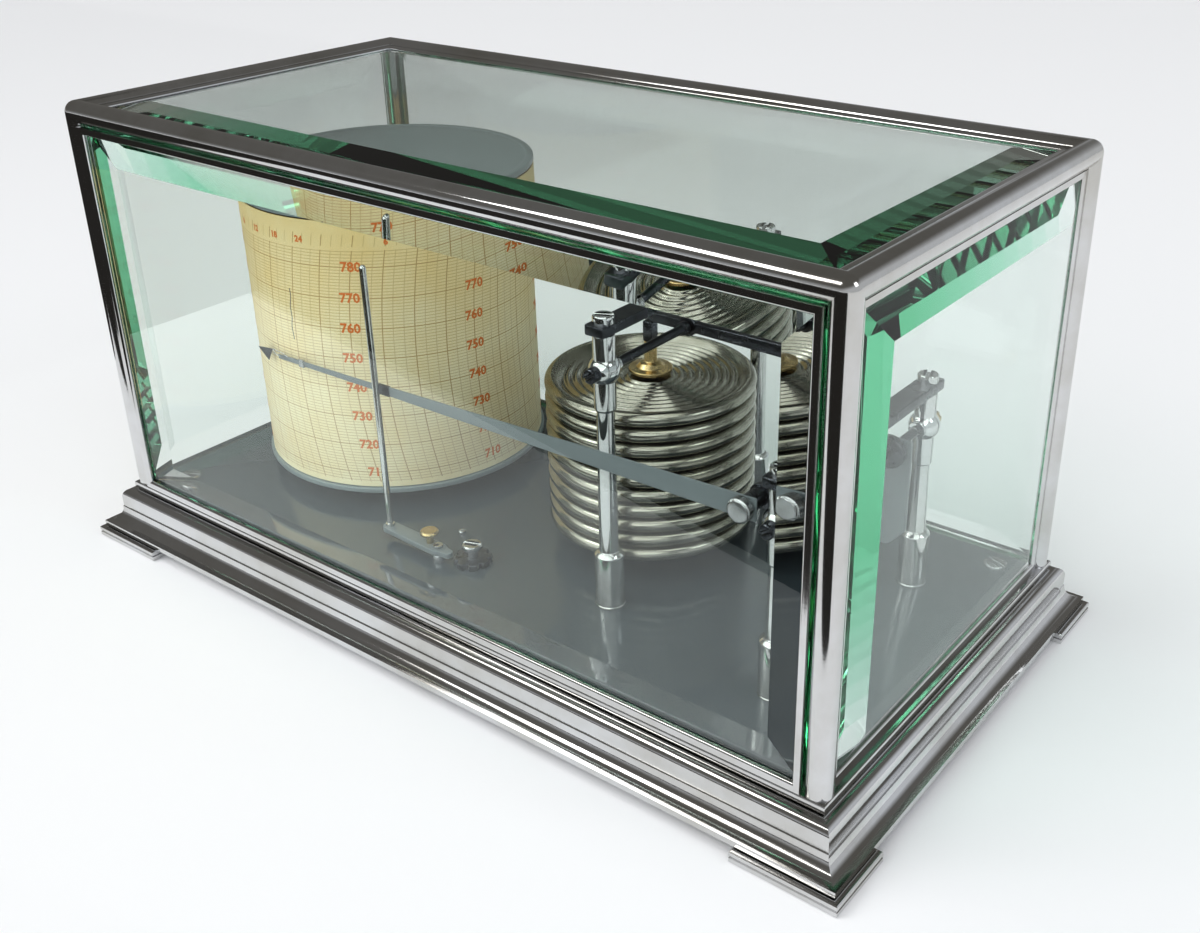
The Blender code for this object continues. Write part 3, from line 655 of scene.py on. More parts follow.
def chart_paper(name, centre, radius):
    """Aged chart paper: curved time lines, pressure lines bold at each ten, foxing and fibres, and painted
    shade that browns it towards the top.
    """
    made = bpy.data.materials.new(name)
    made.use_nodes = True
    nodes, links = made.node_tree.nodes, made.node_tree.links
    nodes.clear()
    out = nodes.new("ShaderNodeOutputMaterial")
    out.label = "printed paper"
    out.location = (1500, 0)
    shader = nodes.new("ShaderNodeBsdfPrincipled")
    shader.label = "matt paper"
    shader.location = (1200, 0)
    shader.inputs["Roughness"].default_value = 0.72
    shader.inputs["Specular IOR Level"].default_value = 0.35
    where = nodes.new("NodeFrame")
    where.label = "place on the sheet in millimetres"
    times = nodes.new("NodeFrame")
    times.label = "curved time lines"
    levels = nodes.new("NodeFrame")
    levels.label = "pressure lines"
    age = nodes.new("NodeFrame")
    age.label = "age of the paper and painted shade"

    place = nodes.new("ShaderNodeTexCoord")
    place.label = "place on the drum"
    place.parent = where
    scale = nodes.new("ShaderNodeMapping")
    scale.label = "millimetres from the arbor"
    scale.parent = where
    scale.inputs["Location"].default_value = (-centre[0], -centre[1], 0.0)
    scale.inputs["Scale"].default_value = (1 / MM, 1 / MM, 1 / MM)
    axes = nodes.new("ShaderNodeSeparateXYZ")
    axes.label = "across, back and up"
    axes.parent = where
    turn = nodes.new("ShaderNodeMath")
    turn.label = "angle round the drum"
    turn.operation = "ARCTAN2"
    turn.parent = where
    angle = nodes.new("ShaderNodeMath")
    angle.label = "angle from the first column"
    angle.operation = "SUBTRACT"
    angle.inputs[1].default_value = FIRST_COLUMN
    angle.parent = where
    run = nodes.new("ShaderNodeMath")
    run.label = "length round the drum"
    run.operation = "MULTIPLY"
    run.inputs[1].default_value = radius
    run.parent = where
    rise = nodes.new("ShaderNodeMath")
    rise.label = "height from the pen spindle"
    rise.operation = "SUBTRACT"
    rise.inputs[1].default_value = pivot("pen_swing")[2]
    rise.parent = times
    square = nodes.new("ShaderNodeMath")
    square.label = "its square"
    square.operation = "MULTIPLY"
    square.parent = times
    rest = nodes.new("ShaderNodeMath")
    rest.label = "arm squared less that"
    rest.operation = "SUBTRACT"
    rest.inputs[0].default_value = ARM_REACH ** 2
    rest.parent = times
    root = nodes.new("ShaderNodeMath")
    root.label = "reach of the pen"
    root.operation = "SQRT"
    root.parent = times
    lean = nodes.new("ShaderNodeMath")
    lean.label = "lean of the time line"
    lean.operation = "SUBTRACT"
    lean.inputs[0].default_value = ARM_REACH
    lean.parent = times
    hour = nodes.new("ShaderNodeMath")
    hour.label = "time along the chart"
    hour.operation = "SUBTRACT"
    hour.parent = times
    two = nodes.new("ShaderNodeMath")
    two.label = "to the nearest two-hour line"
    two.operation = "PINGPONG"
    two.inputs[1].default_value = HOUR_ARC
    two.parent = times
    six = nodes.new("ShaderNodeMath")
    six.label = "to the nearest six-hour line"
    six.operation = "PINGPONG"
    six.inputs[1].default_value = 3 * HOUR_ARC
    six.parent = times
    fine_time = nodes.new("ShaderNodeMapRange")
    fine_time.label = "fine time line"
    fine_time.parent = times
    bold_time = nodes.new("ShaderNodeMapRange")
    bold_time.label = "bold time line"
    bold_time.parent = times
    level = nodes.new("ShaderNodeMath")
    level.label = "height from the datum line"
    level.operation = "SUBTRACT"
    level.inputs[1].default_value = DATUM_Z
    level.parent = levels
    one = nodes.new("ShaderNodeMath")
    one.label = "to the nearest unit"
    one.operation = "PINGPONG"
    one.inputs[1].default_value = UNIT_RISE / 2
    one.parent = levels
    ten = nodes.new("ShaderNodeMath")
    ten.label = "to the nearest ten"
    ten.operation = "PINGPONG"
    ten.inputs[1].default_value = 5 * UNIT_RISE
    ten.parent = levels
    fine_level = nodes.new("ShaderNodeMapRange")
    fine_level.label = "fine pressure line"
    fine_level.parent = levels
    bold_level = nodes.new("ShaderNodeMapRange")
    bold_level.label = "bold pressure line"
    bold_level.parent = levels
    for line, width, ink in ((fine_time, 0.06, 0.50), (bold_time, 0.10, 0.85), (fine_level, 0.06, 0.55),
                             (bold_level, 0.10, 0.85)):
        line.inputs["From Min"].default_value = width
        line.inputs["From Max"].default_value = width + 0.10
        line.inputs["To Min"].default_value = ink
        line.inputs["To Max"].default_value = 0.0
    both_times = nodes.new("ShaderNodeMath")
    both_times.label = "all time lines"
    both_times.operation = "MAXIMUM"
    both_times.parent = times
    both_levels = nodes.new("ShaderNodeMath")
    both_levels.label = "all pressure lines"
    both_levels.operation = "MAXIMUM"
    both_levels.parent = levels
    grid = nodes.new("ShaderNodeMath")
    grid.label = "ruled grid"
    grid.operation = "MAXIMUM"
    from_grid = nodes.new("ShaderNodeMath")
    from_grid.label = "height from the grid's middle"
    from_grid.operation = "SUBTRACT"
    from_grid.inputs[1].default_value = 70.0
    from_grid.parent = levels
    grid_away = nodes.new("ShaderNodeMath")
    grid_away.label = "distance from its middle"
    grid_away.operation = "ABSOLUTE"
    grid_away.parent = levels
    in_grid = nodes.new("ShaderNodeMath")
    in_grid.label = "inside the ruled grid"
    in_grid.operation = "LESS_THAN"
    in_grid.inputs[1].default_value = 39.0
    in_grid.parent = levels
    ruled = nodes.new("ShaderNodeMath")
    ruled.label = "grid inside its margins"
    ruled.operation = "MULTIPLY"
    from_head = nodes.new("ShaderNodeMath")
    from_head.label = "height from the heading"
    from_head.operation = "SUBTRACT"
    from_head.inputs[1].default_value = 112.0
    from_head.parent = times
    head_away = nodes.new("ShaderNodeMath")
    head_away.label = "distance from the heading"
    head_away.operation = "ABSOLUTE"
    head_away.parent = times
    in_head = nodes.new("ShaderNodeMath")
    in_head.label = "inside the heading"
    in_head.operation = "LESS_THAN"
    in_head.inputs[1].default_value = 1.8
    in_head.parent = times
    ticks = nodes.new("ShaderNodeMath")
    ticks.label = "ticks of the heading"
    ticks.operation = "MULTIPLY"
    ticks.parent = times
    ink = nodes.new("ShaderNodeMath")
    ink.label = "ink on the sheet"
    ink.operation = "MAXIMUM"
    fox = nodes.new("ShaderNodeTexNoise")
    fox.label = "foxing"
    fox.inputs["Scale"].default_value = 0.045
    fox.inputs["Detail"].default_value = 7.0
    fox.inputs["Roughness"].default_value = 0.6
    fox.parent = age
    # Painted shade: the paper browns more and more from 60 mm up to its top edge, standing in for the shade
    # there.
    high = nodes.new("ShaderNodeMapRange")
    high.label = "painted shade, browner towards the top"
    high.inputs["From Min"].default_value = 60.0
    high.inputs["From Max"].default_value = 118.0
    high.inputs["To Min"].default_value = -0.12
    high.inputs["To Max"].default_value = 0.42
    high.parent = age
    # Foxing added to the painted shade towards the top, clamped.
    stain = nodes.new("ShaderNodeMath")
    stain.label = "foxing and painted shade"
    stain.operation = "ADD"
    stain.use_clamp = True
    stain.parent = age
    tone = nodes.new("ShaderNodeMix")
    tone.data_type = "RGBA"
    tone.label = "cream to brown"
    tone.inputs[6].default_value = (0.95, 0.86, 0.66, 1.0)
    tone.inputs[7].default_value = (0.84, 0.62, 0.31, 1.0)
    tone.parent = age
    printed = nodes.new("ShaderNodeMix")
    printed.data_type = "RGBA"
    printed.label = "paper and brown ink"
    printed.inputs[7].default_value = (0.46, 0.25, 0.09, 1.0)
    fibre = nodes.new("ShaderNodeTexNoise")
    fibre.label = "paper fibres"
    fibre.inputs["Scale"].default_value = 5.0
    fibre.inputs["Detail"].default_value = 4.0
    fibre.parent = age
    relief = nodes.new("ShaderNodeBump")
    relief.label = "tooth of the paper"
    relief.inputs["Strength"].default_value = 0.15
    relief.inputs["Distance"].default_value = 0.0001
    relief.parent = age
    columns = ((place, scale, axes, turn, angle, run), (rise, square, rest, root, lean, hour, two, six),
               (level, one, ten, from_grid, grid_away, from_head, head_away, fox, high),
               (fine_time, bold_time, fine_level, bold_level, in_grid, in_head, stain, fibre),
               (both_times, both_levels, grid, ticks, ruled, ink, tone, printed, relief))
    for across, column in enumerate(columns):
        for down, node in enumerate(column):
            node.location = (-1500 + 420 * across, 700 - 200 * down)

    links.new(place.outputs["Object"], scale.inputs["Vector"])
    links.new(scale.outputs["Vector"], axes.inputs["Vector"])
    links.new(axes.outputs["Y"], turn.inputs[0])
    links.new(axes.outputs["X"], turn.inputs[1])
    links.new(turn.outputs["Value"], angle.inputs[0])
    links.new(angle.outputs["Value"], run.inputs[0])
    links.new(axes.outputs["Z"], rise.inputs[0])
    links.new(rise.outputs["Value"], square.inputs[0])
    links.new(rise.outputs["Value"], square.inputs[1])
    links.new(square.outputs["Value"], rest.inputs[1])
    links.new(rest.outputs["Value"], root.inputs[0])
    links.new(root.outputs["Value"], lean.inputs[1])
    links.new(run.outputs["Value"], hour.inputs[0])
    links.new(lean.outputs["Value"], hour.inputs[1])
    links.new(hour.outputs["Value"], two.inputs[0])
    links.new(hour.outputs["Value"], six.inputs[0])
    links.new(two.outputs["Value"], fine_time.inputs["Value"])
    links.new(six.outputs["Value"], bold_time.inputs["Value"])
    links.new(fine_time.outputs["Result"], both_times.inputs[0])
    links.new(bold_time.outputs["Result"], both_times.inputs[1])
    links.new(axes.outputs["Z"], level.inputs[0])
    links.new(level.outputs["Value"], one.inputs[0])
    links.new(level.outputs["Value"], ten.inputs[0])
    links.new(one.outputs["Value"], fine_level.inputs["Value"])
    links.new(ten.outputs["Value"], bold_level.inputs["Value"])
    links.new(fine_level.outputs["Result"], both_levels.inputs[0])
    links.new(bold_level.outputs["Result"], both_levels.inputs[1])
    links.new(both_times.outputs["Value"], grid.inputs[0])
    links.new(both_levels.outputs["Value"], grid.inputs[1])
    links.new(axes.outputs["Z"], from_grid.inputs[0])
    links.new(from_grid.outputs["Value"], grid_away.inputs[0])
    links.new(grid_away.outputs["Value"], in_grid.inputs[0])
    links.new(grid.outputs["Value"], ruled.inputs[0])
    links.new(in_grid.outputs["Value"], ruled.inputs[1])
    links.new(axes.outputs["Z"], from_head.inputs[0])
    links.new(from_head.outputs["Value"], head_away.inputs[0])
    links.new(head_away.outputs["Value"], in_head.inputs[0])
    links.new(both_times.outputs["Value"], ticks.inputs[0])
    links.new(in_head.outputs["Value"], ticks.inputs[1])
    links.new(ruled.outputs["Value"], ink.inputs[0])
    links.new(ticks.outputs["Value"], ink.inputs[1])
    links.new(scale.outputs["Vector"], fox.inputs["Vector"])
    # Height drives the painted shade at the top of the sheet.
    links.new(axes.outputs["Z"], high.inputs["Value"])
    links.new(fox.outputs["Fac"], stain.inputs[0])
    links.new(high.outputs["Result"], stain.inputs[1])
    links.new(stain.outputs["Value"], tone.inputs[0])
    links.new(tone.outputs[2], printed.inputs[6])
    links.new(ink.outputs["Value"], printed.inputs[0])
    links.new(printed.outputs[2], shader.inputs["Base Color"])
    links.new(scale.outputs["Vector"], fibre.inputs["Vector"])
    links.new(fibre.outputs["Fac"], relief.inputs["Height"])
    links.new(relief.outputs["Normal"], shader.inputs["Normal"])
    links.new(shader.outputs["BSDF"], out.inputs["Surface"])
    return made


def printing_ink(name, colour, faded):
    """Matt printer's ink, thin in places."""
    made = bpy.data.materials.new(name)
    made.use_nodes = True
    nodes, links = made.node_tree.nodes, made.node_tree.links
    nodes.clear()
    out = nodes.new("ShaderNodeOutputMaterial")
    out.label = "ink surface"
    out.location = (600, 0)
    shader = nodes.new("ShaderNodeBsdfPrincipled")
    shader.label = "matt ink"
    shader.location = (300, 0)
    shader.inputs["Roughness"].default_value = 0.75
    wear = nodes.new("NodeFrame")
    wear.label = "uneven inking"
    place = nodes.new("ShaderNodeTexCoord")
    place.label = "place on the sheet"
    place.location = (-600, 0)
    speck = nodes.new("ShaderNodeTexNoise")
    speck.label = "thin spots"
    speck.location = (-300, 0)
    speck.parent = wear
    speck.inputs["Scale"].default_value = 1800.0
    tone = nodes.new("ShaderNodeMix")
    tone.data_type = "RGBA"
    tone.label = "full to faded ink"
    tone.location = (0, 0)
    tone.parent = wear
    tone.inputs[6].default_value = (*colour, 1.0)
    tone.inputs[7].default_value = (*faded, 1.0)
    links.new(place.outputs["Object"], speck.inputs["Vector"])
    links.new(speck.outputs["Fac"], tone.inputs[0])
    links.new(tone.outputs[2], shader.inputs["Base Color"])
    links.new(shader.outputs["BSDF"], out.inputs["Surface"])
    return made


def figure(text, height):
    """Points in millimetres and faces of a number, centred on its own origin, very slightly thick."""
    curve = bpy.data.curves.new("figure", "FONT")
    curve.body = text
    curve.size = height / 0.7
    curve.align_x = "CENTER"
    curve.align_y = "CENTER"
    curve.resolution_u = 2
    curve.offset = 0.12
    curve.extrude = 0.01
    holder = bpy.data.objects.new("figure", curve)
    bpy.context.collection.objects.link(holder)
    bpy.context.view_layer.update()
    mesh = bpy.data.meshes.new_from_object(holder.evaluated_get(bpy.context.evaluated_depsgraph_get()))
    points = np.zeros(len(mesh.vertices) * 3)
    mesh.vertices.foreach_get("co", points)
    faces = [list(face.vertices) for face in mesh.polygons]
    bpy.data.objects.remove(holder)
    bpy.data.meshes.remove(mesh)
    bpy.data.curves.remove(curve)
    return points.reshape(-1, 3), faces


def figures(centre, radius):
    """Numbers wrapped on the chart: x becomes angle x / R, leaning with the time lines."""
    labels = []
    for day in range(7):
        run = 24 * HOUR_ARC * day
        for value in range(710, 790, 10):
            up = DATUM_Z + (value - DATUM_VALUE) * UNIT_RISE
            labels.append((str(value), run, up, LEVEL_FIGURE))
        for hours in (6, 12, 18, 24):
            labels.append((str(hours), run + hours * HOUR_ARC, HOUR_FIGURE_Z, HOUR_FIGURE))
    cut = {}
    spots, faces, start = [], [], 0
    for text, run, z, height in labels:
        if text not in cut:
            cut[text] = figure(text, height)
        points, sides = cut[text]
        up = z + points[:, 1]
        turn = FIRST_COLUMN + (run + points[:, 0] + bend(z)) / radius
        out = radius + INK_LIFT + points[:, 2]
        spots.append(np.column_stack((centre[0] + out * np.cos(turn), centre[1] + out * np.sin(turn), up)))
        faces += [[corner + start for corner in side] for side in sides]
        start += len(points)
    mesh = bpy.data.meshes.new("chart_figures")
    mesh.from_pydata(np.vstack(spots) * MM, [], faces)
    mesh.materials.append(red_ink)
    made = bpy.data.objects.new("chart_figures", mesh)
    bpy.context.collection.objects.link(made)
    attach(made, "drum")


def drum():
    """Lid, flange, paper sleeve with its figures and trace, and the clip at its seam."""
    x, y = pivot("drum_turn")[:2]
    low, high = corners("drum_lid")
    radius = (high[0] - low[0]) / 2
    top = high[2]
    lid = eased([(0, top - 0.25), (radius - 2.6, top - 0.25), (radius - 2.2, top), (radius, top),
                 (radius, low[2]), (0, low[2])], 0.5, 4, closed=False)
    disc = turned(lid, (x, y, 0), steps=128)
    add("drum_top", [disc], lid_paint, "drum", "grey_enamel", "drum_lid", sharp=40)

    low, high = corners("drum_flange")
    radius = (high[0] - low[0]) / 2
    inner = radius - 4.6
    ring = eased([(radius, low[2]), (radius, high[2]), (inner, high[2]), (inner, low[2])], 0.4, 4)
    ring = np.vstack((ring, ring[:1]))
    ring = turned(ring, (x, y, 0), steps=128)
    add("drum_foot_ring", [ring], lid_paint, "drum", "grey_enamel", "drum_flange")

    low, high = corners("chart_paper")
    radius = (high[0] - low[0]) / 2
    ring = [(radius, low[2]), (radius, high[2]), (radius - 0.25, high[2]), (radius - 0.25, low[2]),
            (radius, low[2])]
    sheet = chart_paper("chart_paper", (x, y), radius)
    sleeve = turned(ring, (x, y, 0), steps=160)
    add("chart_sleeve", [sleeve], sheet, "drum", "chart_paper", "chart_paper")
    figures((x, y), radius)

    z = np.linspace(78.0, 95.0, 36)
    turn = math.radians(-86.0) + (bend(z) + 0.2 * np.sin(0.9 * z)) / radius
    trace = np.column_stack((x + (radius + 0.02) * np.cos(turn), y + (radius + 0.02) * np.sin(turn), z))
    add("ink_trace", [wire(trace, 0.10, 6)], trace_ink, "drum", "chart_paper")

    outer = arc((x, y), radius + 0.5, 8, SEAM, SEAM_SPAN)
    clip = np.vstack((outer, arc((x, y), radius + 0.15, 8, SEAM + SEAM_SPAN, -SEAM_SPAN)))
    add("chart_seam_clip", [plate(clip, low[2], high[2] + 0.2, 0.1)], brass, "drum", "brass", "chart_clip")


trace_ink = printing_ink("violet_ink", (0.05, 0.04, 0.08), (0.10, 0.08, 0.13))
red_ink = printing_ink("orange_ink", (0.70, 0.14, 0.02), (0.74, 0.25, 0.07))
drum()


# ---------------------------------------------------------------- aneroid stack


BEAD = 2.2
HALF_DEPTH = 1.25
HUB_RADIUS = 6.6
RIDGE_PITCH = 2.55
RIDGE_RISE = 0.45


def capsules():
    """Ten capsules: corrugated faces inside a beaded rim, and the boss and post on top."""
    x, y, _ = middle("capsule_01")
    for k in range(1, 11):
        node = f"capsule_{k:02d}"
        low, high = corners(node)
        radius = (high[0] - low[0]) / 2
        centre = low[2] + BEAD
        bead = arc((radius - BEAD, centre), BEAD, 14, 128, -256)
        r = np.linspace(HUB_RADIUS, radius - 5.0, 90)
        wave = RIDGE_RISE * np.cos((r - HUB_RADIUS) * 2 * np.pi / RIDGE_PITCH) - RIDGE_RISE
        upper = np.column_stack((r, centre + HALF_DEPTH + wave))
        lower = np.column_stack((r, centre - HALF_DEPTH - wave))[::-1]
        ends = centre + HALF_DEPTH, centre - HALF_DEPTH
        profile = np.vstack(([(0, ends[0])], upper, bead, lower, [(0, ends[1])]))
        shell = turned(profile, (x, y, 0), steps=96)
        add(f"aneroid_{node}", [shell], nickel, "base", "nickel_silver", node, sharp=45)

    low, high = corners("stack_foot")
    floor = low[2] - 0.3
    foot = eased([(0, high[2]), (7.0, high[2]), (7.0, floor + 3.2), (15.0, floor + 2.2), (15.0, floor),
                  (0, floor)], 0.6, 4, closed=False)
    add("stack_pedestal", [turned(foot, (x, y, 0), steps=64)], steel, "base", "steel", "stack_foot")

    low, high = corners("stack_post")
    boss = low[2]
    profile = eased([(0, boss), (6.5, boss), (6.5, boss + 1.1), (4.2, boss + 1.3), (3.2, boss + 2.6),
                     (1.9, boss + 3.0), (1.9, boss + 9.0), (1.5, boss + 9.4), (0, boss + 9.4)],
                    0.25, 3, closed=False)
    add("post_boss", [turned(profile, (x, y, 0), steps=64)], brass, "stack_post", "brass", "stack_post")
    bar = plate(eased(rectangle((x - 1.6, y - 1.6), (x + 1.6, y + 1.6)), 0.3), boss + 9.3, high[2], 0.3)
    add("post_bar", [bar], bronzed, "stack_post", "bronzed_steel")


capsules()


# ---------------------------------------------------------------- pillars, bridges and spindles

BALL = 4.4
NECK = 10.1


def pillars():
    """Ball-headed pillars with bearing screws and bushes, and the bridges screwed on top of them."""
    for word in ("lever", "pen"):
        x, _, z = pivot(f"{word}_swing")
        for place, way in (("front", -1), ("back", 1)):
            node = f"{word}_pillar_{place}"
            y = middle(node)[1]
            foot = corners(node)[0][2] - 0.3
            ball = arc((0.0, z), BALL, 22, 46, -92)
            top = eased([(0, z + NECK), (3.0, z + NECK), (3.0, z + 3.6)], 0.35, 3, closed=False)
            sleeve = eased([(3.05, z - 3.3), (3.05, z - 11.3), (2.45, z - 11.7), (2.85, 39.6),
                            (3.3, 39.5), (4.25, 38.5), (4.25, foot + 0.9), (4.4, foot + 0.7),
                            (4.4, foot), (0, foot)], 0.25, 3, closed=False)
            column = turned(np.vstack((top[:-1], ball, sleeve)), (x, y, 0), steps=48)
            add(f"ball_{node}", [column], chrome, "base", "chrome", node, sharp=38)
            tone, slot = (bronzed, "bronzed_steel") if place == "front" else (brass, "brass")
            outward, inward = ("-Y", "Y") if way < 0 else ("Y", "-Y")
            screw = slotted_head(2.15, 3.4, 6.7, 0.7, 0.8, 0.3, 35.0)
            screw = moved(screw, (x, y, z), outward)
            add(f"bearing_screw_{word}_{place}", screw, tone, "base", slot)
            bush = eased([(0, 3.4), (2.5, 3.4), (2.5, 4.7), (1.45, 4.7)], 0.2, closed=False)
            bush = np.vstack((bush, [(1.45, 3.6), (0, 3.6)]))
            bush = moved([turned(bush)], (x, y, z), inward)
            add(f"bearing_bush_{word}_{place}", bush, chrome, "base", "chrome")

        low, high = corners(f"{word}_bridge")
        outline = eased(rectangle(low[:2], high[:2]), 0.8, 3)
        flat = plate(outline, low[2], high[2], 0.35)
        add(f"flat_{word}_bridge", [flat], bronzed, "base", "bronzed_steel", f"{word}_bridge")
        for place, turn in (("front", 28.0), ("back", 110.0)):
            y = middle(f"{word}_pillar_{place}")[1]
            head = slotted_head(2.95, high[2] - 0.1, high[2] + 2.3, 0.8, 0.9, 0.3, turn)
            add(f"bridge_screw_{word}_{place}", moved(head, (x, y, 0.0)), chrome, "base", "chrome")


def spindles():
    """Two rods on conical pivots, with collars beside the parts that they carry."""
    for word, body, collars in (("lever", "lever", ((5.4, 7.4), (11.7, 13.6))),
                                ("pen", "pen", ((12.8, 14.6), (-28.9, -27.2), (-34.2, -32.2)))):
        x, _, z = pivot(f"{word}_swing")
        low, high = corners(f"{word}_spindle")
        start, end = low[1], high[1]
        profile = [(0, start), (0.35, start), (1.3, start + 1.6)]
        for a, b in sorted(collars):
            profile += [(1.3, a), (2.0, a), (2.0, b), (1.3, b)]
        profile = eased(profile + [(1.3, end - 1.6), (0.35, end), (0, end)], 0.2, 2, closed=False)
        rod = turned(profile, (x, 0, z), "Y", 32)
        add(f"round_{word}_spindle", [rod], bronzed, body, "bronzed_steel", f"{word}_spindle")


pillars()
spindles()


# ---------------------------------------------------------------- levers and link


PIN = 0.75
EYE_HOLE = 1.25
EYE_RIM = 2.2


def linkage():
    """Main lever, link with its two eyes, crank with a chamfered disc, and the balance plate."""
    x, _, z = pivot("lever_swing")
    low, high = corners("main_lever")
    link_x = middle("lever_link")[0]
    hub = arc((x, z), 3.0, 14, 150, -120)
    under = arc((x, z), 3.0, 14, -30, -120)
    right = arc((link_x, z), 2.1, 14, 90, -180)
    left = arc((low[0] + 1.5, z), 1.5, 14, -90, -180)
    plane = (8.0, 11.0)
    lever = plate(np.vstack((left, hub, right, under)), *plane, 0.3, "Y")
    pin_z = {"upper": z, "lower": pivot("pen_swing")[2]}
    link_low, link_high = corners("lever_link")
    head = link_low[1] - 0.9
    neck = link_low[1] - 0.25
    root = plane[0] + 1.0
    pin = eased([(0, head), (EYE_HOLE, head), (EYE_HOLE, neck), (PIN, neck), (PIN, root), (0, root)],
                0.15, 3, closed=False)
    add("flat_main_lever", [lever], bronzed, "lever", "bronzed_steel", "main_lever")
    add("upper_link_pin", [turned(pin, (link_x, 0, pin_z["upper"]), "Y", 24)], steel, "lever", "steel")

    near, far = link_low[1], link_high[1]
    section = eased([(EYE_HOLE, near), (EYE_RIM, near), (EYE_RIM, far), (EYE_HOLE, far)], 0.15)
    section = np.vstack((section, section[:1]))
    eyes = [turned(section, (link_x, 0, height), "Y", 40) for height in pin_z.values()]
    web = rectangle((link_x - 1.5, pin_z["lower"] + 1.7), (link_x + 1.5, pin_z["upper"] - 1.7))
    eyes.append(plate(web, near + 0.06, far - 0.06, 0.15, "Y"))
    add("eyed_link", eyes, steel, "link", "steel", "lever_link")

    x, _, z = pivot("pen_swing")
    crank = np.vstack((arc((x, z), 4.7, 30, -150, 300), arc((link_x, z), 1.8, 12, 90, 180)))
    low, high = corners("link_crank")
    disc = plate(crank, plane[0], high[1], 0.5, "Y")
    add("crank_disc", [disc], bronzed, "pen", "bronzed_steel", "link_crank")
    add("lower_link_pin", [turned(pin, (link_x, 0, z), "Y", 24)], steel, "pen", "steel")
    low, high = corners("balance_plate")
    weight = [(low[0], high[2]), (high[0], high[2]), (high[0], low[2] + 5.5), (high[0] - 4.9, low[2]),
              (low[0], low[2])]
    weight = plate(eased(weight, 0.8), low[1], high[1], 0.2, "Y")
    add("hanging_balance_plate", [weight], arm_paint, "pen", "grey_enamel", "balance_plate")


linkage()


# ---------------------------------------------------------------- pen

SLOPE = 0.020


def pen():
    """Carrier and stud, tapered arm, ferrule, thin extension, boat nib on a wire, knurled nut."""
    x, _, z = pivot("pen_swing")
    hub_x, _, hub_z = middle("arm_nut")
    low, high = corners("pen_carrier")
    arm_low, arm_high = corners("pen_arm")
    arm_y = (arm_low[1] + arm_high[1]) / 2
    carrier = plate(strap(((x, z), (hub_x, hub_z)), (3.6, 3.2)), -31.6, high[1], 0.3, "Y")
    stud = [(0, -31.0), (2.6, -31.0), (2.6, arm_high[1] + 0.1), (0, arm_high[1] + 0.1)]
    stud = turned(stud, (hub_x, 0, hub_z), "Y")
    add("arm_carrier", [carrier, stud], bronzed, "pen", "bronzed_steel", "pen_carrier")

    def strip(points):
        """Outline of a strip along the arm's line from (x, height) points."""
        upper = [(px, hub_z + SLOPE * (px - hub_x) + tall / 2) for px, tall in points]
        lower = [(px, hub_z + SLOPE * (px - hub_x) - tall / 2) for px, tall in reversed(points)]
        return np.array(upper + lower)

    arm = plate(eased(strip([(arm_high[0], 6.6), (-33.0, 2.9)]), 0.5), arm_low[1], arm_high[1], 0.12, "Y")
    add("tapered_arm", [arm], arm_paint, "pen", "grey_enamel", "pen_arm")
    thin = plate(strip([(-32.0, 2.1), (arm_low[0], 1.5)]), arm_y - 0.12, arm_y + 0.12, 0.05, "Y")
    add("arm_extension", [thin], arm_paint, "pen", "grey_enamel")
    ferrule = eased(strip([(-30.6, 3.3), (-36.0, 3.2)]), 0.3)
    ferrule = plate(ferrule, arm_low[1] - 0.25, arm_high[1] + 0.25, 0.15, "Y")
    add("arm_ferrule", [ferrule], bronzed, "pen", "bronzed_steel")
    band = eased(strip([(-69.2, 2.6), (-71.6, 2.6)]), 0.2)
    band = plate(band, arm_low[1] - 0.1, arm_high[1] + 0.1, 0.1, "Y")
    add("nib_socket_band", [band], steel, "pen", "steel")

    low, high = corners("pen_nib")
    heel = (high[0], low[1] + 0.1, high[2])
    back = ((low[0] + high[0]) / 2 - 0.6, high[1], high[2] - 1.2)
    top = np.array([(low[0], low[1] + 0.1, high[2] - 0.8), heel, back])
    bottom = np.array(((low[0] + high[0]) / 2 + 0.2, low[1] + 0.6, low[2]))
    inner = top + 0.22 * (top.mean(0) - top)
    well = bottom + (0.0, 0.0, 1.2)
    rows = [np.repeat(bottom[None], 4, 0), top[[0, 1, 2, 0]], inner[[0, 1, 2, 0]],
            np.repeat(well[None], 4, 0)]
    add("boat_nib", [np.array(rows)], bronzed, "pen", "bronzed_steel", "pen_nib", sharp=10)
    tip = hub_z + SLOPE * (arm_low[0] - hub_x)
    stay = [(arm_low[0] + 5.0, arm_y - 0.2, tip + 0.8), (arm_low[0] + 2.0, arm_y - 0.3, tip + 1.7), heel,
            (arm_low[0] - 1.4, arm_y - 0.2, tip + 0.6), (arm_low[0] + 0.8, arm_y, tip)]
    t = np.linspace(0, len(stay) - 1, 33)
    path = np.column_stack([np.interp(t, range(len(stay)), column) for column in np.array(stay).T])
    add("nib_wire", [wire(path, 0.16, 8)], steel, "pen", "steel")

    low, high = corners("arm_nut")
    turn = np.linspace(0, 2 * np.pi, 144, endpoint=False)
    ridge = 3.42 + 0.08 * np.sign(np.sin(36 * turn))
    outline = np.column_stack((hub_x + ridge * np.cos(turn), hub_z + ridge * np.sin(turn)))
    rim = [(0.35, low[1]), (0.05, low[1] + 0.3), (0.05, high[1] - 0.3), (0.35, high[1])]
    nut = stacked(outline, rim, "Y")
    face = eased([(0, low[1] - 0.12), (2.7, low[1] - 0.12), (2.9, low[1] + 0.1), (0, low[1] + 0.1)],
                 0.08, closed=False)
    add("knurled_nut", [nut, turned(face, (hub_x, 0, hub_z), "Y")], steel, "pen", "steel", "arm_nut")


pen()


# ---------------------------------------------------------------- pen lifter and setting wheel


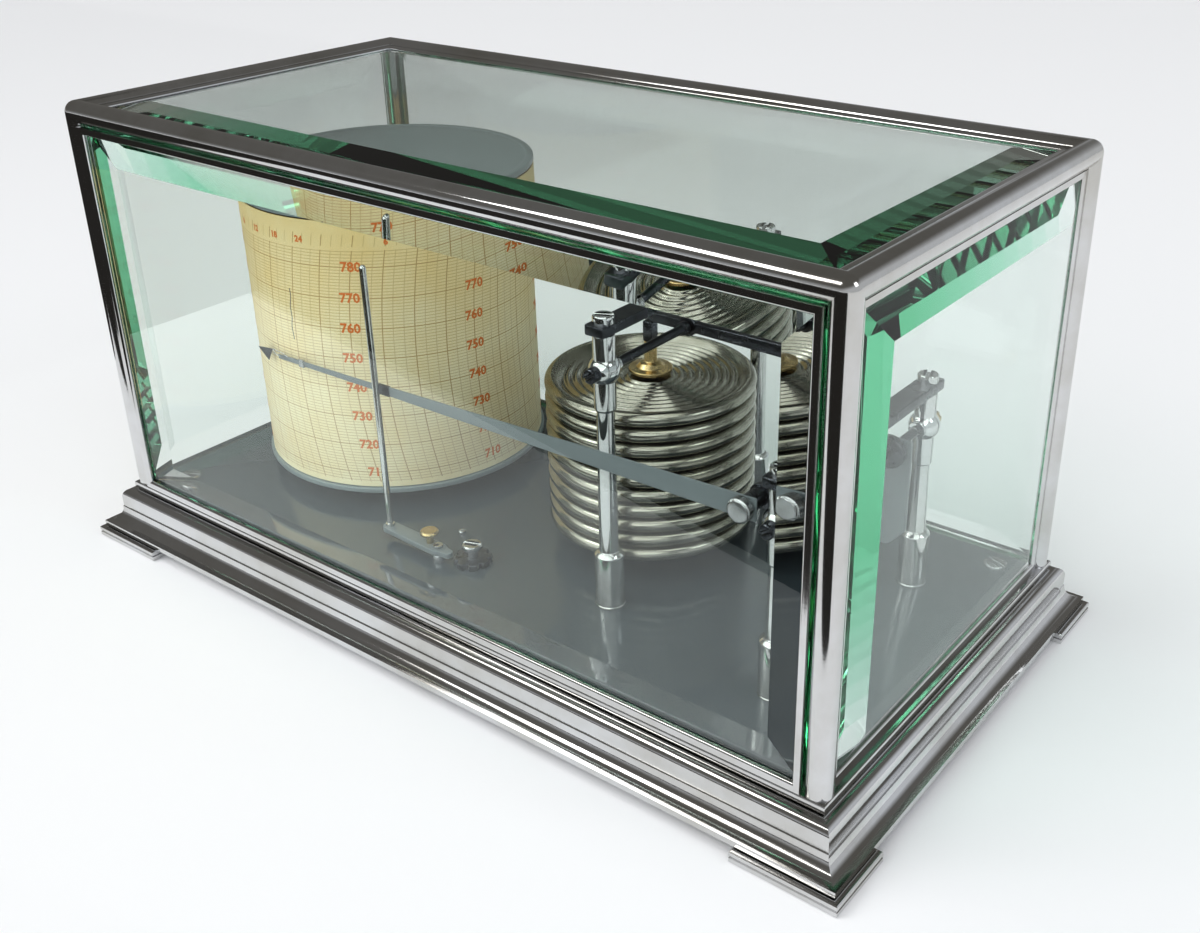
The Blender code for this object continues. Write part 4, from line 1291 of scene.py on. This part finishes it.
def lifter():
    """Pivot screw, flat lever with a short tail, rod with a round top, and a flat knob."""
    x, y, _ = pivot("lifter_swing")
    rod_x, rod_y, _ = middle("lifter_rod")
    low, high = corners("lifter_lever")
    thick = (24.8, 26.6)
    bar = plate(strap(((x, y), (rod_x, rod_y)), (2.6, 2.3)), *thick, 0.25)
    tail = plate(strap(((x + 4.2, y - 0.2), (x, y)), (1.5, 1.9)), thick[0] + 0.05, thick[1] - 0.05, 0.2)
    add("lifter_arm", [bar, tail], arm_paint, "lifter", "grey_enamel", "lifter_lever")
    knob_z = high[2]
    knob = eased([(0, knob_z), (2.5, knob_z), (2.9, knob_z - 0.5), (2.9, knob_z - 1.2), (1.1, knob_z - 1.5),
                  (1.1, thick[1] - 0.2), (0, thick[1] - 0.2)], 0.25, 3, closed=False)
    add("lifter_knob", [turned(knob, (x - 4.0, y + 0.6, 0))], brass, "lifter", "brass")

    low, high = corners("lifter_rod")
    dome = arc((0.0, high[2] - 1.0), 1.0, 8, 90, -90)
    rod = np.vstack((dome, [(1.0, thick[1] + 0.9), (1.35, thick[1] + 0.8), (1.35, thick[1] - 0.1),
                            (0, thick[1] - 0.1)]))
    rod = turned(rod, (rod_x, rod_y, 0), steps=32)
    add("lifter_upright", [rod], chrome, "lifter", "chrome", "lifter_rod")

    low, high = corners("lifter_pivot")
    foot = low[2] - 0.3
    post = eased([(0, high[2] + 0.2), (1.5, high[2] + 0.1), (1.5, thick[1] + 0.2), (0.9, thick[1] + 0.15),
                  (0.9, thick[0] - 0.3), (1.9, thick[0] - 0.3), (1.9, foot), (0, foot)],
                 0.15, 2, closed=False)
    post = turned(post, (x, y, 0), steps=32)
    add("lifter_pivot_screw", [post], steel, "base", "steel", "lifter_pivot")
    stop = slotted_head(1.2, PLATE_TOP - 0.2, PLATE_TOP + 1.3, 0.4, 0.4, 0.2, 60.0)
    stop = moved(stop, (x - 5.6, y + 15.6, 0.0))
    add("stop_screw", stop, steel, "base", "steel")


def setting_wheel():
    """Eight-lobed wheel under a domed screw with a slot."""
    x, y, _ = pivot("set_wheel_turn")
    low, high = corners("set_wheel")
    turn = np.linspace(0, 2 * np.pi, 160, endpoint=False)
    lobes = 5.25 + 0.55 * np.clip(3.2 * np.cos(8 * turn) + 1.6, -1, 1)
    outline = np.column_stack((x + lobes * np.cos(turn), y + lobes * np.sin(turn)))
    wheel = plate(outline, low[2] - 0.2, high[2], 0.3)
    add("lobed_wheel", [wheel], bronzed, "set_wheel", "bronzed_steel", "set_wheel")
    low, high = corners("set_wheel_screw")
    shank = turned([(0, high[2] - 1.4), (1.7, high[2] - 1.4), (1.7, low[2]), (0, low[2])], (x, y, 0))
    head = moved(slotted_head(3.0, high[2] - 1.5, high[2], 0.7, 0.6, 0.3, 20.0), (x, y, 0.0))
    add("domed_screw", [shank] + head, steel, "set_wheel", "steel", "set_wheel_screw")


lifter()
setting_wheel()


# ---------------------------------------------------------------- hidden CAD nodes


def stained_wood(name):
    """Black-stained board: grain as bands bent by noise, dull wax."""
    made = bpy.data.materials.new(name)
    made.use_nodes = True
    nodes, links = made.node_tree.nodes, made.node_tree.links
    nodes.clear()
    out = nodes.new("ShaderNodeOutputMaterial")
    out.label = "board surface"
    out.location = (600, 0)
    shader = nodes.new("ShaderNodeBsdfPrincipled")
    shader.label = "stained wood"
    shader.location = (300, 0)
    shader.inputs["Roughness"].default_value = 0.6
    grain = nodes.new("NodeFrame")
    grain.label = "grain"
    place = nodes.new("ShaderNodeTexCoord")
    place.label = "place on the board"
    place.location = (-900, 0)
    along = nodes.new("ShaderNodeMapping")
    along.label = "grain along the case"
    along.location = (-700, 0)
    along.parent = grain
    along.inputs["Scale"].default_value = (3.0, 40.0, 40.0)
    rings = nodes.new("ShaderNodeTexWave")
    rings.label = "year rings"
    rings.location = (-450, 0)
    rings.parent = grain
    rings.bands_direction = "Y"
    rings.inputs["Scale"].default_value = 3.0
    rings.inputs["Distortion"].default_value = 6.0
    rings.inputs["Detail"].default_value = 3.0
    tone = nodes.new("ShaderNodeMix")
    tone.data_type = "RGBA"
    tone.label = "stain"
    tone.location = (-150, 100)
    tone.parent = grain
    tone.inputs[6].default_value = (0.018, 0.015, 0.012, 1.0)
    tone.inputs[7].default_value = (0.06, 0.045, 0.03, 1.0)
    relief = nodes.new("ShaderNodeBump")
    relief.label = "open pores"
    relief.location = (-150, -200)
    relief.parent = grain
    relief.inputs["Strength"].default_value = 0.3
    relief.inputs["Distance"].default_value = 0.0002
    links.new(place.outputs["Object"], along.inputs["Vector"])
    links.new(along.outputs["Vector"], rings.inputs["Vector"])
    links.new(rings.outputs["Fac"], tone.inputs[0])
    links.new(rings.outputs["Fac"], relief.inputs["Height"])
    links.new(tone.outputs[2], shader.inputs["Base Color"])
    links.new(relief.outputs["Normal"], shader.inputs["Normal"])
    links.new(shader.outputs["BSDF"], out.inputs["Surface"])
    return made


board = stained_wood("stained_board")
for node, look in (("base_board", board), ("drum_shell", brass), ("clock_movement", brass),
                   ("drum_arbor", steel), ("fixed_wheel", brass), ("clock_pinion", steel)):
    frame["nodes"][node].data.materials.clear()
    frame["nodes"][node].data.materials.append(look)


# ---------------------------------------------------------------- stage


def dark_flag(name):
    """Black card that only reflections meet: open to every ray that has not been reflected yet."""
    made = bpy.data.materials.new(name)
    made.use_nodes = True
    nodes, links = made.node_tree.nodes, made.node_tree.links
    nodes.clear()
    out = nodes.new("ShaderNodeOutputMaterial")
    out.label = "card"
    out.location = (600, 0)
    path = nodes.new("ShaderNodeLightPath")
    path.label = "reflections so far"
    path.location = (-300, 200)
    met = nodes.new("ShaderNodeMath")
    met.label = "reflected at least once"
    met.location = (0, 200)
    met.operation = "GREATER_THAN"
    met.inputs[1].default_value = 0.5
    clear = nodes.new("ShaderNodeBsdfTransparent")
    clear.label = "open"
    clear.location = (0, 0)
    dark = nodes.new("ShaderNodeBsdfDiffuse")
    dark.label = "black felt"
    dark.location = (0, -150)
    dark.inputs["Color"].default_value = (0.03, 0.028, 0.026, 1.0)
    mix = nodes.new("ShaderNodeMixShader")
    mix.label = "open or black"
    mix.location = (300, 0)
    links.new(path.outputs["Glossy Depth"], met.inputs[0])
    links.new(met.outputs["Value"], mix.inputs[0])
    links.new(clear.outputs["BSDF"], mix.inputs[1])
    links.new(dark.outputs["BSDF"], mix.inputs[2])
    links.new(mix.outputs["Shader"], out.inputs["Surface"])
    return made


def studio():
    """Pale floor with two dark cards, soft lamps, a graded sky and a camera."""
    bpy.ops.mesh.primitive_plane_add(size=8.0)
    floor = bpy.context.object
    floor.name = "studio_floor"
    made = bpy.data.materials.new("pale_floor")
    made.use_nodes = True
    made.node_tree.nodes["Principled BSDF"].inputs["Base Color"].default_value = (0.86, 0.87, 0.89, 1)
    made.node_tree.nodes["Principled BSDF"].inputs["Roughness"].default_value = 0.7
    floor.data.materials.append(made)

    flag = dark_flag("dark_flag")
    for name, outline in (
            ("front_flag", ((-1.6, -1.6), (1.0, -1.6), (0.19, -0.14), (-0.30, -0.235), (-1.6, -0.35))),
            ("left_flag", ((-1.6, -0.35), (-0.30, -0.235), (-0.30, 0.6), (-1.6, 0.6)))):
        card = bpy.data.meshes.new(name)
        card.from_pydata([(*corner, 0.001) for corner in outline], [], [tuple(range(len(outline)))])
        shown = bpy.data.objects.new(name, card)
        bpy.context.collection.objects.link(shown)
        shown.visible_camera = False
        shown.visible_diffuse = False
        shown.visible_shadow = False
        card.materials.append(flag)

    sun = bpy.data.lights.new("soft_overhead", "SUN")
    sun.angle = math.radians(100)
    sun.energy = 3.1
    lamp = bpy.data.objects.new("soft_overhead", sun)
    lamp.rotation_euler = (math.radians(38), math.radians(-8), 0.0)
    lamp.visible_glossy = False
    bpy.context.collection.objects.link(lamp)
    for name, place, size, power, colour in (
            ("key_softbox", (-0.55, -0.75, 0.95), (0.5, 0.35), 2.2, (1.0, 0.99, 0.97)),
            ("side_softbox", (1.1, 0.1, 0.9), (0.5, 0.5), 2.2, (0.95, 0.98, 1.0))):
        lamp = bpy.data.lights.new(name, "AREA")
        lamp.shape = "RECTANGLE"
        lamp.size, lamp.size_y = size
        lamp.energy = power
        lamp.color = colour
        holder = bpy.data.objects.new(name, lamp)
        holder.location = place
        aim = Vector((0.0, 0.0, 0.06)) - holder.location
        holder.rotation_euler = aim.to_track_quat("-Z", "Y").to_euler()
        bpy.context.collection.objects.link(holder)

    world = bpy.data.worlds.new("studio")
    bpy.context.scene.world = world
    world.use_nodes = True
    nodes, links = world.node_tree.nodes, world.node_tree.links
    sky = nodes["Background"]
    way = nodes.new("ShaderNodeTexCoord")
    way.label = "direction"
    parts = nodes.new("ShaderNodeSeparateXYZ")
    parts.label = "height above the horizon"
    lift = nodes.new("ShaderNodeMath")
    lift.label = "white wall on the right"
    lift.operation = "MULTIPLY_ADD"
    lift.inputs[1].default_value = -0.35
    shade = nodes.new("ShaderNodeValToRGB")
    shade.label = "white sweep below a dim room"
    stops = shade.color_ramp.elements
    stops[0].position, stops[0].color = 0.10, (0.66, 0.68, 0.71, 1.0)
    stops[1].position, stops[1].color = 0.45, (0.16, 0.155, 0.145, 1.0)
    links.new(way.outputs["Generated"], parts.inputs["Vector"])
    links.new(parts.outputs["X"], lift.inputs[0])
    links.new(parts.outputs["Z"], lift.inputs[2])
    links.new(lift.outputs["Value"], shade.inputs["Fac"])
    links.new(shade.outputs["Color"], sky.inputs["Color"])

    camera = bpy.data.cameras.new("camera")
    camera.lens = 40.23
    camera.sensor_width = 36.0
    camera.shift_x = -0.0498
    camera.shift_y = -0.0305
    camera.clip_start = 0.01
    camera.clip_end = 20.0
    eye = bpy.data.objects.new("camera", camera)
    place = Vector((0.2513, -0.2819, 0.2367))
    azimuth, elevation, roll = math.radians(37.076), math.radians(26.192), math.radians(-0.528)
    back = Vector((math.sin(azimuth) * math.cos(elevation), -math.cos(azimuth) * math.cos(elevation),
                   math.sin(elevation)))
    turn = back.to_track_quat("Z", "Y").to_matrix() @ Matrix.Rotation(roll, 3, "Z")
    eye.matrix_world = Matrix.Translation(place) @ turn.to_4x4()
    bpy.context.collection.objects.link(eye)
    bpy.context.scene.camera = eye
    bpy.context.scene.view_settings.view_transform = "Standard"
    bpy.context.scene.view_settings.gamma = 0.88
    light_paths = bpy.context.scene.cycles
    light_paths.max_bounces = 32
    light_paths.glossy_bounces = 24
    light_paths.transmission_bounces = 32


studio()
